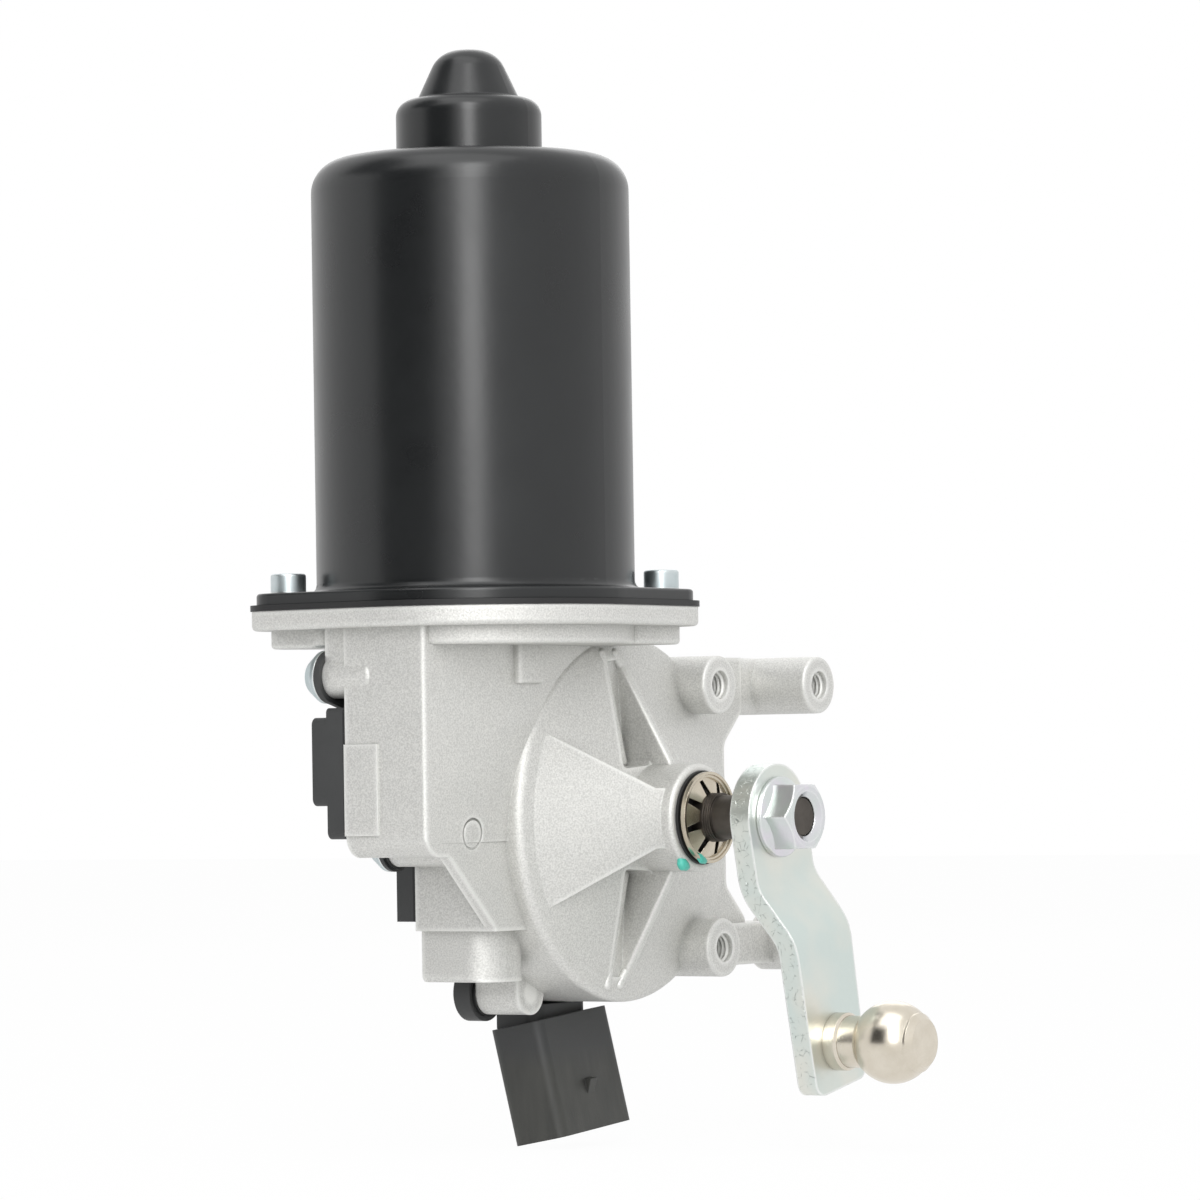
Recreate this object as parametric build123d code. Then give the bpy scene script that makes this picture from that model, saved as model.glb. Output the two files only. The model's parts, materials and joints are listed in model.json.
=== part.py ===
from build123d import *
from math import cos, degrees, pi, radians, sin, sqrt
import os

# Wiper motor with its crank arm. Millimetres.
# +X runs out of the gear housing along the output shaft, +Z runs up the motor axis to the can,
# and the origin is the middle of the four mounting posts, in the plane of their faces.

# Mounting posts, threaded M6
post_pitch_y = 38.0
post_pitch_z = 55.0
post_dia = 12.2
post_hole_dia = 6.0
post_hole_depth = 13.0
post_rim_fillet = 0.6
near_post_root = -13.0
far_post_root = -15.5

# Axes
shaft_y = -41.4
motor_x = -23.1
gear_module = 1.0
wheel_teeth = 54
worm_pitch_r = 5.0

# Gear housing casting
cover_plane = -32.4
drum_front = -8.8
drum_cone_top = -1.0
skirt_blend_r = 60.0
skirt_rise_start = -4.0
skirt_rise_end = 20.0
drum_r = 38.0
drum_rim_fillet = 2.0
drum_wall = 3.5
gear_floor = -15.6
block_front = -12.3
block_half_width = 32.4
block_edge_fillet = 1.0
block_bottom = -6.8
block_heel_r = 4.5
front_plate_thickness = 2.6
front_plate_corner_z = -4.0
front_plate_heel_y = 9.5
front_plate_bottom = -21.6
tunnel_half_width = 9.8
tunnel_bottom = -22.1
tunnel_bore_r = 7.2
bearing_block_front = -15.6
bearing_block_half_width = 7.8
bearing_block_bottom = -32.6
bearing_block_fillet = 6.5
ejector_mark_r = 3.0
ejector_mark_depth = 0.25
ejector_mark_dy = -17.4
ejector_mark_z = -2.3

# Motor flange
flange_face = 43.3
flange_thickness = 4.0
flange_r = 36.5
flange_screw_r = 38.5
flange_screw_angle = 225.0
ear_r = 7.5
pad_edge_fillet = 1.0
band_edge_fillet = 0.8
band_depth = 3.7
band_r = 32.3
screw_boss_r = 3.6
recess_r = 29.5
recess_depth = 4.7
neck_r = 14.5
neck_bottom = 28.0
neck_gap = 1.0
ledge_width = 2.5
ledge_depth = 2.0

# Output tower with its ramp and ribs
tower_end = 10.0
tower_r = 11.1
tower_bore_r = 7.0
ramp_half_height = 22.0
ramp_top = 8.0
ramp_top_half_height = 6.2
gusset_thickness = 2.2
gusset_reach = 36.0
gusset_lean = 5.0
gusset_top = 4.0
gusset_round = 0.7
pocket_low_dy = -9.6
pocket_high_dy = -6.0
pocket_corner = 1.0
pocket_floor = -8.0
pocket_reach = 33.0

# Mount plate, arms and lugs
plate_back = -24.0
plate_edge_y = 1.2
plate_neck_z = 15.2
plate_flare = 7.0
arm_front = -13.5
arm_half_height = 6.1
arm_round = 3.0
lower_bar_height = 8.8
lower_bar_back = -20.0
lower_bar_front = -10.0

# Cover screws: sideways from the motor axis or shaft axis, and height
upper_screw_dy = -28.5
upper_screw_z = 29.7
upper_boss_back = -37.6
upper_boss_front = -25.6
wall_pad_front = -24.0
wall_pad_bottom = -2.4
wall_pad_top = 16.0
wall_pad_height = 0.5
side_screw_dy = -15.0
side_screw_z = -4.5
lug_screw_dy = -17.2
lug_screw_z = -35.6
far_screw_dy = 33.0
far_screw_z = 22.0
cover_boss_r = 4.4
lug_r = 4.5
lug_front = -21.6
lug_neck_reach = 9.0
lug_neck_top = -28.0
cover_screw_r = 1.9
cover_head_r = 5.4
cover_head_taper = 2.0
cover_flange_height = 1.0
cover_screw_length = 10.0
drive_length = 4.0
drive_width = 1.0
drive_depth = 2.0
lug_head_r = 4.3
head_room = 0.3
cover_head_height = 3.8

# Cover and connector
cover_thickness = 4.7
cover_skin = 2.0
cover_hollow_inset = 6.0
cover_pad_height = 3.7
cover_pad_bottom = 3.7
cover_pad_top = 21.5
cover_pad_width = 26.0
cover_rim_top = 23.4
cover_rim_bottom = -3.0
cover_tunnel_bottom = -20.2
cover_ear_r = 5.4
cover_ear_thickness = 1.5
ear_foot_dy = 9.0
ear_foot_dz = -5.0
ear_foot_r = 3.0
ear_foot_inset = 0.2
lug_cup_r = 5.9
gasket_thickness = 0.6
connector_width = 26.5
connector_depth = 13.0
connector_length = 24.6
connector_wall = 1.8
connector_tilt = 10.5
connector_lean = 5.0
connector_top_z = -41.6
connector_x = -30.6
connector_dy = 1.45
connector_floor = 6.0
connector_corner = 2.4
pin_count = 5
pin_pitch = 4.0
pin_width = 2.0
pin_thickness = 0.8
pin_recess = 8.0
latch_top = -13.8
latch_length = 3.7
latch_height = 1.6
latch_half_width = 1.2
collar_half_width = 9.5
collar_height = 1.5
stem_reach = 12.0

# Motor can
can_r = 32.5
can_wall = 1.8
can_top = 135.5
can_shoulder = 7.0
can_step_r = 14.9
can_step_top = 147.6
can_step_fillet = 3.5
can_nose_r = 10.5
can_nose_tip_r = 5.8
can_nose_round = 6.0
bush_seat_r = 6.4
nose_bush_below = 4.0
nose_bush_above = 3.0
can_nose_top = 157.7
can_rim_thickness = 2.4
can_rim_inset = 1.0
can_rim_fillet = 0.7
can_root_fillet = 1.8
sheet_thickness = 1.2
sheet_overlap = 0.3
flange_head_r = 3.6
flange_head_height = 4.0
flange_head_round = 0.6
socket_flats = 3.0
socket_depth = 2.0
flange_screw_shank_r = 2.0
flange_screw_length = 10.0

# Armature
armature_shaft_r = 4.0
armature_shaft_top = 151.0
armature_shaft_bottom = -28.0
shaft_end_gap = 1.5
stack_r = 23.5
stack_bottom = 72.0
stack_top = 121.0
slot_count = 12
slot_width = 2.2
slot_depth = 11.0
winding_r = 20.5
winding_bottom = 61.0
winding_top = 130.0
winding_clearance = 1.5
winding_inner_round = 2.0
winding_outer_round = 4.0
commutator_r = 11.0
commutator_bottom = 45.5
commutator_top = 58.0
magnet_inner_r = 24.2
magnet_outer_r = 30.65
magnet_bottom = 69.0
magnet_top = 125.0
magnet_arc = 140.0
magnet_angles = (90.0, 270.0)
bearing_outer_r = 11.0
bearing_width = 7.0
bearing_race = 2.2
ball_count = 8
worm_half_length = 15.0
worm_root_r = 3.75
thread_thickness = 1.05
lower_bush_r = 6.0
lower_bush_length = 8.0

# Brush gear
brush_plate_r = 29.2
brush_plate_bore_r = 12.6
brush_width = 6.0
brush_height = 7.0
brush_length = 9.0
brush_angles = (0.0, 180.0, 125.0)
holder_wall = 0.6
holder_gap = 2.5
holder_inset = 2.2
brush_lift = 3.5
spring_r = 2.0
spring_wire_r = 0.35

# Output shaft group
shaft_r = 5.0
shaft_neck_r = 4.5
shaft_back = -30.0
knurl_end = 15.2
knurl_groove_depth = 0.2
knurl_groove_width = 0.3
knurl_groove_count = 3
wheel_width = 8.0
wheel_web = 4.0
wheel_rim = 3.6
tooth_backlash = 0.05
flank_slope = 0.364
wheel_hub_r = 9.0
hub_plate_r = 15.0
hub_plate_thickness = 1.5
park_disc_thickness = 0.5
park_disc_gap = 1.0
contact_pitch = 14.4
contact_width = 2.0
contact_length = 22.0
contact_sheet = 0.6
contact_gap = 0.3
washer_r = 8.5
seal_r = 9.6
seal_depth = 2.5
back_bush_length = 11.0
front_bush_length = 9.0
seal_proud = 0.6
retainer_r = 9.4
retainer_thickness = 0.6
retainer_dish = 1.6
retainer_lip = 1.5
retainer_slots = 8
retainer_slot_turn = 18.0
retainer_slot_r = 7.9
retainer_slot_width = 1.2

# Crank arm, nut and ball stud
crank_back = 24.2
crank_thickness = 4.6
crank_hub_r = 10.8
crank_joggle = 7.3
joggle_start = 13.0
joggle_end = 24.0
crank_centres = 46.9
crank_angle = 11.5
crank_end_width = 19.0
crank_end_overhang = 9.6
crank_end_corner = 3.0
crank_bend_r = 7.0
nut_flats = 13.0
nut_flange_r = 8.25
nut_flange_height = 1.6
nut_height = 7.3
nut_thread_r = 4.0
nut_mouth_r = 5.2
nut_mouth_depth = 1.1
stud_end_recess = 1.2
ball_r = 8.4
ball_offset = 13.5
ball_collar_r = 5.9
ball_collar_length = 3.2
ball_neck_r = 5.3
ball_nub_r = 6.0
ball_nub_end = 21.1
ball_nub_chamfer = 1.2
ball_rivet_r = 4.0
rivet_head = 0.8

# Clearances
running_gap = 0.04
seat_gap = 0.02
thread_gap = 0.05
face_gap = 0.05

# Worked out from the above
pitch = pi * gear_module
wheel_pitch_r = wheel_teeth * gear_module / 2
worm_tip_r = worm_pitch_r + gear_module
motor_y = shaft_y - wheel_pitch_r - worm_pitch_r
block_left = motor_y - block_half_width
wheel_back = motor_x - wheel_width / 2
wheel_front = motor_x + wheel_width / 2
pad_bottom = flange_face - flange_thickness
band_bottom = pad_bottom - band_depth
recess_floor = flange_face - recess_depth
cover_back = cover_plane - cover_thickness
can_base = flange_face + sheet_thickness
crank_front = crank_back + crank_thickness
stud_base = crank_front + crank_joggle


def outline(*corners):
    """Closed face through corners given as (u, v) or (u, v, fillet radius)."""
    points = [corner[:2] for corner in corners]
    radii = [corner[2] if len(corner) > 2 else 0 for corner in corners]
    return make_face(FilletPolyline(*points, radius=radii, close=True))


def plane_x(x, y=0, z=0):
    """Plane across the shaft direction: local x is +Y and local y is +Z."""
    return Plane(origin=(x, y, z), x_dir=(0, 1, 0), z_dir=(1, 0, 0))


def prism_x(face, x_from, x_to, y=0, z=0):
    return extrude(plane_x(x_from, y, z) * face, x_to - x_from)


def prism_z(face, z_from, z_to, x=0, y=0):
    return extrude(Plane(origin=(x, y, z_from)) * face, z_to - z_from)


def prism_y(face, y_from, y_to):
    """Extrude a face drawn in (x, z) from y_from to y_to."""
    return extrude(Plane(origin=(0, y_to, 0), x_dir=(1, 0, 0), z_dir=(0, -1, 0)) * face, y_to - y_from)


def rod_x(radius, x_from, x_to, y, z):
    return prism_x(Circle(radius), x_from, x_to, y, z)


def rod_z(radius, z_from, z_to, x=motor_x, y=motor_y):
    return prism_z(Circle(radius), z_from, z_to, x, y)


def turned_x(y, z, *corners):
    """Solid of revolution about a line along X, from (x, radius) corners."""
    plane = Plane(origin=(0, y, z), x_dir=(1, 0, 0), z_dir=(0, -1, 0))
    return revolve(plane * outline(*corners), Axis((0, y, z), (1, 0, 0)))


def turned_z(*corners):
    """Solid of revolution about the motor axis, from (radius, z) corners."""
    plane = Plane(origin=(motor_x, motor_y, 0), x_dir=(1, 0, 0), z_dir=(0, -1, 0))
    return revolve(plane * outline(*corners), Axis((motor_x, motor_y, 0), (0, 0, 1)))


def ring_z(inner_r, outer_r, z_from, z_to):
    return rod_z(outer_r, z_from, z_to) - rod_z(inner_r, z_from, z_to)


def ring_x(inner_r, outer_r, x_from, x_to, y=shaft_y, z=0):
    return rod_x(outer_r, x_from, x_to, y, z) - rod_x(inner_r, x_from, x_to, y, z)


def flange_screw_places():
    """The two screws that hold the can, on a line through the motor axis."""
    places = []
    for turn in (0, 180):
        angle = radians(flange_screw_angle + turn)
        x = motor_x + flange_screw_r * cos(angle)
        y = motor_y + flange_screw_r * sin(angle)
        places.append((x, y))
    return places


def screw_circles(radius):
    """The two circles about the flange screws."""
    circles = Sketch()
    for turn in (0, 180):
        circles += Rot(0, 0, flange_screw_angle + turn) * (Pos(flange_screw_r, 0) * Circle(radius))
    return circles


def flange_outline(circle_r, tip_r):
    """Flange seen from above: a disc drawn out to the two screws."""
    return make_hull(Circle(circle_r).edges() + screw_circles(tip_r).edges())


def eared(circle_r, tip_r):
    """Band under the flange: a circle with a boss at each screw."""
    face = Circle(circle_r)
    for turn in (0, 180):
        ear = Pos(flange_screw_r, 0) * Circle(tip_r)
        foot = Pos(flange_screw_r - 2 * tip_r, 0) * Circle(tip_r + 4)
        face += Rot(0, 0, flange_screw_angle + turn) * make_hull(ear.edges() + foot.edges())
    return face


def cover_screw_places():
    """Each cover screw as (y, z, plane of its head's seat, head radius)."""
    skin = cover_plane - cover_ear_thickness
    return [
        (motor_y + upper_screw_dy, upper_screw_z, upper_boss_back - cover_ear_thickness, cover_head_r),
        (motor_y + side_screw_dy, side_screw_z, skin, cover_head_r),
        (shaft_y + lug_screw_dy, lug_screw_z, skin, lug_head_r),
        (shaft_y + far_screw_dy, far_screw_z, skin, cover_head_r),
        (shaft_y + far_screw_dy, -far_screw_z, skin, cover_head_r),
    ]


# Gear housing

def drum():
    """Round drum with a shallow cone on its front."""
    return turned_x(
        shaft_y, 0,
        (cover_plane, 0), (drum_cone_top, 0), (drum_cone_top, tower_r), (drum_front, drum_r, drum_rim_fillet),
        (cover_plane, drum_r),
    )


def block_plan():
    """Motor block seen from above, with its rounded front left edge."""
    return outline(
        (cover_plane, block_left), (block_front, block_left, block_edge_fillet),
        (block_front, shaft_y), (cover_plane, shaft_y),
    )


def motor_block():
    """Block under the motor with its lower front plate and the tunnel of the worm."""
    body = prism_z(block_plan(), block_bottom, pad_bottom)
    heel = prism_x(
        outline(
            (block_left, block_bottom, block_heel_r), (shaft_y, block_bottom), (shaft_y, pad_bottom),
            (block_left, pad_bottom),
        ),
        cover_plane, block_front,
    )
    body &= heel
    corner_z = front_plate_corner_z + block_heel_r
    plate = prism_x(
        outline(
            (block_left, corner_z, 2), (motor_y - front_plate_heel_y, front_plate_bottom, 1),
            (shaft_y, tunnel_bottom), (shaft_y, corner_z + block_heel_r),
            (block_left, corner_z + block_heel_r),
        ),
        block_front - front_plate_thickness, block_front,
    )
    plate &= prism_z(block_plan(), tunnel_bottom, pad_bottom)
    tunnel = prism_z(
        outline(
            (cover_plane, motor_y - tunnel_half_width), (block_front, motor_y - tunnel_half_width),
            (block_front, shaft_y), (cover_plane, shaft_y),
        ),
        tunnel_bottom, block_bottom,
    )
    return body + plate + tunnel


def ejector_mark():
    """Shallow round groove left by the die on the block's front."""
    outer, inner = ejector_mark_r + ejector_mark_depth, ejector_mark_r - ejector_mark_depth
    depth = block_front - ejector_mark_depth
    return ring_x(inner, outer, depth, block_front + 1, motor_y + ejector_mark_dy, ejector_mark_z)


def wall_pad():
    """Raised pad on the block's left wall."""
    pad = prism_x(
        outline(
            (block_left - wall_pad_height, wall_pad_bottom), (motor_y, wall_pad_bottom),
            (motor_y, wall_pad_top), (block_left - wall_pad_height, wall_pad_top),
        ),
        cover_plane, wall_pad_front,
    )
    return pad - prism_x(outline(
        (block_left + 1, wall_pad_bottom - 1), (motor_y + 1, wall_pad_bottom - 1),
        (motor_y + 1, wall_pad_top + 1), (block_left + 1, wall_pad_top + 1),
    ), cover_plane, wall_pad_front)


def skirt_plan(front):
    """Front of the block seen from above, easing out from its left edge to the drum."""
    back = block_front - 1
    return outline(
        (back, block_left + block_edge_fillet), (block_front, block_left + block_edge_fillet),
        (front, shaft_y - drum_r + drum_rim_fillet, skirt_blend_r), (front, shaft_y), (back, shaft_y),
    )


def front_blend():
    """Skirt that brings the block's front out to the drum's face."""
    step = 0.1 * (drum_front - block_front)
    low = Plane(origin=(0, 0, skirt_rise_start)) * skirt_plan(block_front + step)
    high = Plane(origin=(0, 0, skirt_rise_end)) * skirt_plan(drum_front)
    return loft([low, high], ruled=True) + prism_z(skirt_plan(drum_front), skirt_rise_end, band_bottom)


def bearing_block():
    left = motor_y - bearing_block_half_width
    right = motor_y + bearing_block_half_width
    plan = outline(
        (cover_plane, left), (bearing_block_front, left, bearing_block_fillet),
        (bearing_block_front, right, bearing_block_fillet), (cover_plane, right),
    )
    block = prism_z(plan, bearing_block_bottom, tunnel_bottom)
    rounding = prism_x(
        outline((left, bearing_block_bottom, 1.5), (right, bearing_block_bottom, 1.5), (right, 0), (left, 0)),
        cover_plane, bearing_block_front,
    )
    return block & rounding


def flange():
    pad = prism_z(flange_outline(flange_r, ear_r), pad_bottom, flange_face, motor_x, motor_y)
    pad = fillet(pad.faces().sort_by(Axis.Z)[0].edges(), pad_edge_fillet)
    band = prism_z(eared(band_r, screw_boss_r), band_bottom, pad_bottom, motor_x, motor_y)
    band = fillet(band.faces().sort_by(Axis.Z)[0].edges(), band_edge_fillet)
    return pad + band


def bearing_neck():
    """Round neck around the bearing seat, which stands out behind the joint plane."""
    return rod_z(neck_r, neck_bottom, pad_bottom)


def tower():
    return turned_x(
        shaft_y, 0,
        (gear_floor, 0), (tower_end, 0), (tower_end, tower_r, 1), (gear_floor, tower_r),
    )


def ramp():
    """Steeper sector of the drum's cone, on the side of the motor."""
    foot_r = drum_r - drum_rim_fillet
    cone = turned_x(
        shaft_y, 0,
        (gear_floor, 0), (ramp_top, 0), (ramp_top, tower_r - 1), (drum_front, foot_r), (gear_floor, foot_r),
    )
    face = outline(
        (-foot_r, -ramp_half_height), (-tower_r, -ramp_top_half_height), (0, -ramp_top_half_height),
        (0, ramp_top_half_height), (-tower_r, ramp_top_half_height), (-foot_r, ramp_half_height),
    )
    return cone & prism_x(face, gear_floor, tower_end, shaft_y, 0)


def lean(piece):
    """Turn an upright rib a little towards the motor, about the output shaft."""
    return Pos(0, shaft_y, 0) * Rot(gusset_lean, 0, 0) * Pos(0, -shaft_y, 0) * piece


def gussets():
    """Thin ribs that run up and down from the tower to the drum's rim."""
    half = outline(
        (gear_floor, 0), (gusset_top, 0), (gusset_top, tower_r, 4), (drum_front, gusset_reach),
        (gear_floor, gusset_reach),
    )
    low, high = shaft_y - gusset_thickness / 2, shaft_y + gusset_thickness / 2
    upper = prism_y(half, low, high)
    ridge = [edge for edge in upper.edges() if edge.center().X > drum_front and edge.center().Z > tower_r]
    upper = lean(fillet(ridge, gusset_round))
    return upper + mirror(upper, Plane.XY)


def gusset_pockets():
    """Three-cornered pockets in the cone, one beside each rib."""
    side = -gusset_thickness / 2
    face = outline(
        (pocket_low_dy, tower_r, pocket_corner), (side, tower_r, pocket_corner),
        (side, pocket_reach, pocket_corner / 2), (pocket_high_dy, pocket_reach, pocket_corner / 2),
    )
    upper = prism_x(face, pocket_floor, tower_end, shaft_y, 0)
    ramp_room = turned_x(
        shaft_y, 0,
        (gear_floor, 0), (tower_end, 0), (tower_end, tower_r), (gear_floor, tower_r),
    )
    upper = lean(upper) - ramp_room
    return upper + mirror(upper, Plane.XY)


def mount_plate():
    """Plate beside the drum that carries the posts."""
    top = post_pitch_z / 2 + arm_half_height
    flare_z = plate_neck_z + plate_flare
    face = outline(
        (shaft_y, top), (plate_edge_y + plate_flare, top), (plate_edge_y + plate_flare, flare_z, 2),
        (plate_edge_y, plate_neck_z, 3), (plate_edge_y, -plate_neck_z, 3),
        (plate_edge_y + plate_flare, -flare_z, 2), (plate_edge_y + plate_flare, -top + 2, 2),
        (shaft_y, -top + 2),
    )
    body = prism_x(face, plate_back, near_post_root)
    shoulder = outline(
        (shaft_y, top), (-post_pitch_y / 2 - post_dia / 2, top), (-post_pitch_y / 2 - post_dia, band_bottom),
        (shaft_y, band_bottom),
    )
    return body + prism_x(shoulder, plate_back, near_post_root)


def arms():
    """Bars that reach from the plate to the two far posts."""
    far_y = post_pitch_y / 2
    z = post_pitch_z / 2
    section = outline(
        (plate_back, z - arm_half_height), (arm_front, z - arm_half_height, arm_round),
        (arm_front, z + arm_half_height, arm_round), (plate_back, z + arm_half_height),
    )
    upper = prism_y(section, plate_edge_y - plate_flare, far_y)
    lower = prism_x(
        outline(
            (-far_y, -z - lower_bar_height / 2), (far_y, -z - lower_bar_height / 2),
            (far_y, -z + lower_bar_height / 2), (-far_y, -z + lower_bar_height / 2),
        ),
        lower_bar_back, lower_bar_front,
    )
    ends = rod_x(arm_half_height, plate_back, arm_front, far_y, z)
    ends += rod_x(lower_bar_height / 2, lower_bar_back, lower_bar_front, far_y, -z)
    return upper + lower + ends


def posts():
    near_y, far_y = -post_pitch_y / 2, post_pitch_y / 2
    body = Part()
    for y, root in ((near_y, near_post_root - 1), (far_y, far_post_root)):
        for z in (-post_pitch_z / 2, post_pitch_z / 2):
            corners = [(root, 0), (0, 0), (0, post_dia / 2, post_rim_fillet), (root, post_dia / 2)]
            body += turned_x(y, z, *corners)
    return body


def post_holes():
    holes = Part()
    for y in (-post_pitch_y / 2, post_pitch_y / 2):
        for z in (-post_pitch_z / 2, post_pitch_z / 2):
            holes += rod_x(post_hole_dia / 2, -post_hole_depth, 0, y, z)
    return holes


def cover_bosses():
    """Columns and lugs that take the cover screws."""
    upper, side, lug, far_up, far_down = [place[:2] for place in cover_screw_places()]
    body = turned_x(
        *upper,
        (upper_boss_back, 0), (upper_boss_front, 0), (upper_boss_front, cover_boss_r, 1.5),
        (upper_boss_back, cover_boss_r),
    )
    web = outline(
        (upper_boss_back, block_left + 0.6), (cover_plane + 5.7, block_left + 0.6),
        (cover_plane + 5.7, upper[0] + cover_boss_r), (upper_boss_back, upper[0] + cover_boss_r),
    )
    body += prism_z(web, upper[1], pad_bottom)
    body += rod_x(cover_boss_r, cover_plane, block_front - front_plate_thickness, *side)
    body += rod_x(lug_r, cover_plane, lug_front, *lug)
    neck = outline(
        (lug[0] - lug_r, lug[1]), (lug[0] + lug_r, lug[1]),
        (lug[0] + lug_neck_reach, lug_neck_top), (lug[0] - lug_r, lug_neck_top),
    )
    body += prism_x(neck, cover_plane, lug_front)
    for y, z in (far_up, far_down):
        body += rod_x(cover_boss_r, cover_plane, plate_back + 4, y, z)
        foot = make_hull(
            (Circle(cover_boss_r).edges()) + (Pos(-8, -z * 0.2) * Circle(cover_boss_r)).edges()
        )
        body += prism_x(foot, cover_plane, plate_back + 4, y, z)
    return body


def cover_screw_holes():
    holes = Part()
    for y, z, seat, _ in cover_screw_places():
        holes += rod_x(cover_screw_r + thread_gap, seat, seat + cover_screw_length + 2, y, z)
    return holes


def housing_cavity():
    """Room inside the casting for the wheel, the worm and the wiring."""
    wheel_room = rod_x(drum_r - drum_wall, cover_plane, gear_floor, shaft_y, 0)
    keep = prism_z(
        outline(
            (cover_plane, block_left), (gear_floor, block_left),
            (gear_floor, motor_y + tunnel_half_width), (cover_plane, motor_y + tunnel_half_width),
        ),
        -drum_r, drum_r,
    )
    cavity = wheel_room - keep - prism_x(room_for_neck(drum_wall), cover_plane, gear_floor)
    cavity += rod_x(wheel_pitch_r + gear_module + 1, cover_plane, gear_floor, shaft_y, 0)
    side = motor_y - tunnel_half_width
    pocket = outline(
        (cover_plane, block_left + drum_wall), (block_front - front_plate_thickness, block_left + drum_wall),
        (block_front - front_plate_thickness, side), (cover_plane, side),
    )
    cavity += prism_z(pocket, cover_rim_bottom + drum_wall, upper_screw_z - cover_boss_r - 1)
    return cavity


def motor_bores():
    """Turned bores on the motor axis: brush recess, bearing seat, tunnel and bush seat."""
    bush_seat = armature_shaft_bottom - 1
    seat = recess_floor - bearing_width
    return turned_z(
        (0, bush_seat), (lower_bush_r, bush_seat), (lower_bush_r, bush_seat + lower_bush_length + 1),
        (tunnel_bore_r, bush_seat + lower_bush_length + 1), (tunnel_bore_r, seat), (bearing_outer_r, seat),
        (bearing_outer_r, recess_floor), (recess_r - ledge_width, recess_floor),
        (recess_r - ledge_width, flange_face - ledge_depth), (recess_r, flange_face - ledge_depth),
        (recess_r, flange_face), (0, flange_face),
    )


def tower_bores():
    return turned_x(
        shaft_y, 0,
        (gear_floor, 0), (gear_floor, tower_bore_r), (tower_end - seal_depth, tower_bore_r),
        (tower_end - seal_depth, seal_r), (tower_end, seal_r), (tower_end, 0),
    )


def flange_screw_holes():
    holes = Part()
    for x, y in flange_screw_places():
        holes += rod_z(flange_screw_shank_r + thread_gap, band_bottom, flange_face, x, y)
    return holes


def gear_housing():
    body = drum() + motor_block() + front_blend() + bearing_block() + flange() + bearing_neck()
    body += ramp() + gussets()
    body -= gusset_pockets()
    body += tower() + wall_pad()
    body += mount_plate() + arms() + posts() + cover_bosses()
    body -= housing_cavity()
    body -= motor_bores()
    body -= tower_bores()
    body -= post_holes() + cover_screw_holes()
    body -= flange_screw_holes() + ejector_mark()
    return body


# Motor can and flange

def motor_can():
    """Drawn steel can with a step and a nose for the end bush."""
    inner_r = can_r - can_wall
    step_floor = can_step_top - can_wall
    rim_top = can_base + can_rim_thickness
    foot_r = can_r + can_root_fillet + 0.2
    shell = turned_z(
        (inner_r, can_base), (foot_r, can_base), (foot_r, rim_top), (can_r, rim_top, can_root_fillet),
        (can_r, can_top, can_shoulder),
        (can_step_r, can_top, 1), (can_step_r, can_step_top, can_step_fillet),
        (can_nose_r, can_step_top, 0.8),
        (can_nose_tip_r, can_nose_top, can_nose_round), (0, can_nose_top),
        (0, can_nose_top - can_wall), (can_nose_tip_r - can_wall, can_nose_top - can_wall),
        (bush_seat_r, armature_shaft_top + shaft_end_gap), (bush_seat_r, step_floor),
        (can_step_r - can_wall, step_floor), (can_step_r - can_wall, can_top - can_wall),
        (inner_r, can_top - can_wall, can_shoulder - can_wall),
    )
    rim = prism_z(
        flange_outline(flange_r - can_rim_inset, ear_r - can_rim_inset),
        can_base, rim_top, motor_x, motor_y,
    )
    rim = fillet(rim.faces().sort_by(Axis.Z)[-1].edges(), can_rim_fillet)
    rim -= rod_z(can_r, can_base, rim_top)
    for x, y in flange_screw_places():
        rim -= rod_z(flange_screw_shank_r + thread_gap, can_base, rim_top, x, y)
    return shell + rim


def can_gasket():
    outer = flange_outline(flange_r + sheet_overlap, ear_r + sheet_overlap)
    body = prism_z(outer, flange_face, can_base, motor_x, motor_y)
    body -= rod_z(recess_r, flange_face, can_base)
    for x, y in flange_screw_places():
        body -= rod_z(flange_screw_shank_r + thread_gap, flange_face, can_base, x, y)
    return body


def flange_screws():
    """Socket head screws that hold the can."""
    seat = can_base + can_rim_thickness
    top = seat + flange_head_height
    screws = Part()
    for x, y in flange_screw_places():
        head = rod_z(flange_head_r, seat, top, x, y)
        head = fillet(head.faces().sort_by(Axis.Z)[-1].edges(), flange_head_round)
        hexagon = RegularPolygon(socket_flats / 2, 6, major_radius=False)
        socket = prism_z(hexagon, top - socket_depth, top, x, y)
        screws += head + rod_z(flange_screw_shank_r, seat - flange_screw_length, seat, x, y) - socket
    return screws


# Cover with the connector

def cover_outline():
    """Outline of the casting's back face, which the cover follows."""
    side = motor_y - tunnel_half_width
    face = Pos(shaft_y, 0) * Circle(drum_r)
    face += outline(
        (block_left, cover_rim_bottom, 1.5), (side, cover_rim_bottom), (side, cover_tunnel_bottom),
        (shaft_y, cover_tunnel_bottom), (shaft_y, cover_rim_top), (block_left, cover_rim_top, 1),
    )
    upper_y = motor_y + upper_screw_dy + cover_boss_r + 1
    face += outline(
        (upper_y, 0), (shaft_y, 0), (shaft_y, neck_bottom), (upper_y, neck_bottom, 2),
    )
    return face - room_for_neck(0)


def room_for_neck(margin):
    """Corner of the back face that the bearing neck and the flange band keep for the casting."""
    low = neck_bottom - neck_gap - margin
    step_y = motor_y + neck_r + neck_gap + margin
    high = band_bottom - 1 - margin
    end_y = shaft_y + neck_gap + margin
    top = 2 * drum_r
    return outline(
        (block_left - top, low), (step_y, low, 2), (step_y, high), (end_y, high), (end_y, top),
        (block_left - top, top),
    )


def cover_ears(radius):
    """Round ears of the cover about the screws that lie on the joint plane."""
    face = Sketch()
    for y, z, *_ in cover_screw_places()[1:]:
        face += Pos(y, z) * Circle(radius)
    return face


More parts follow.
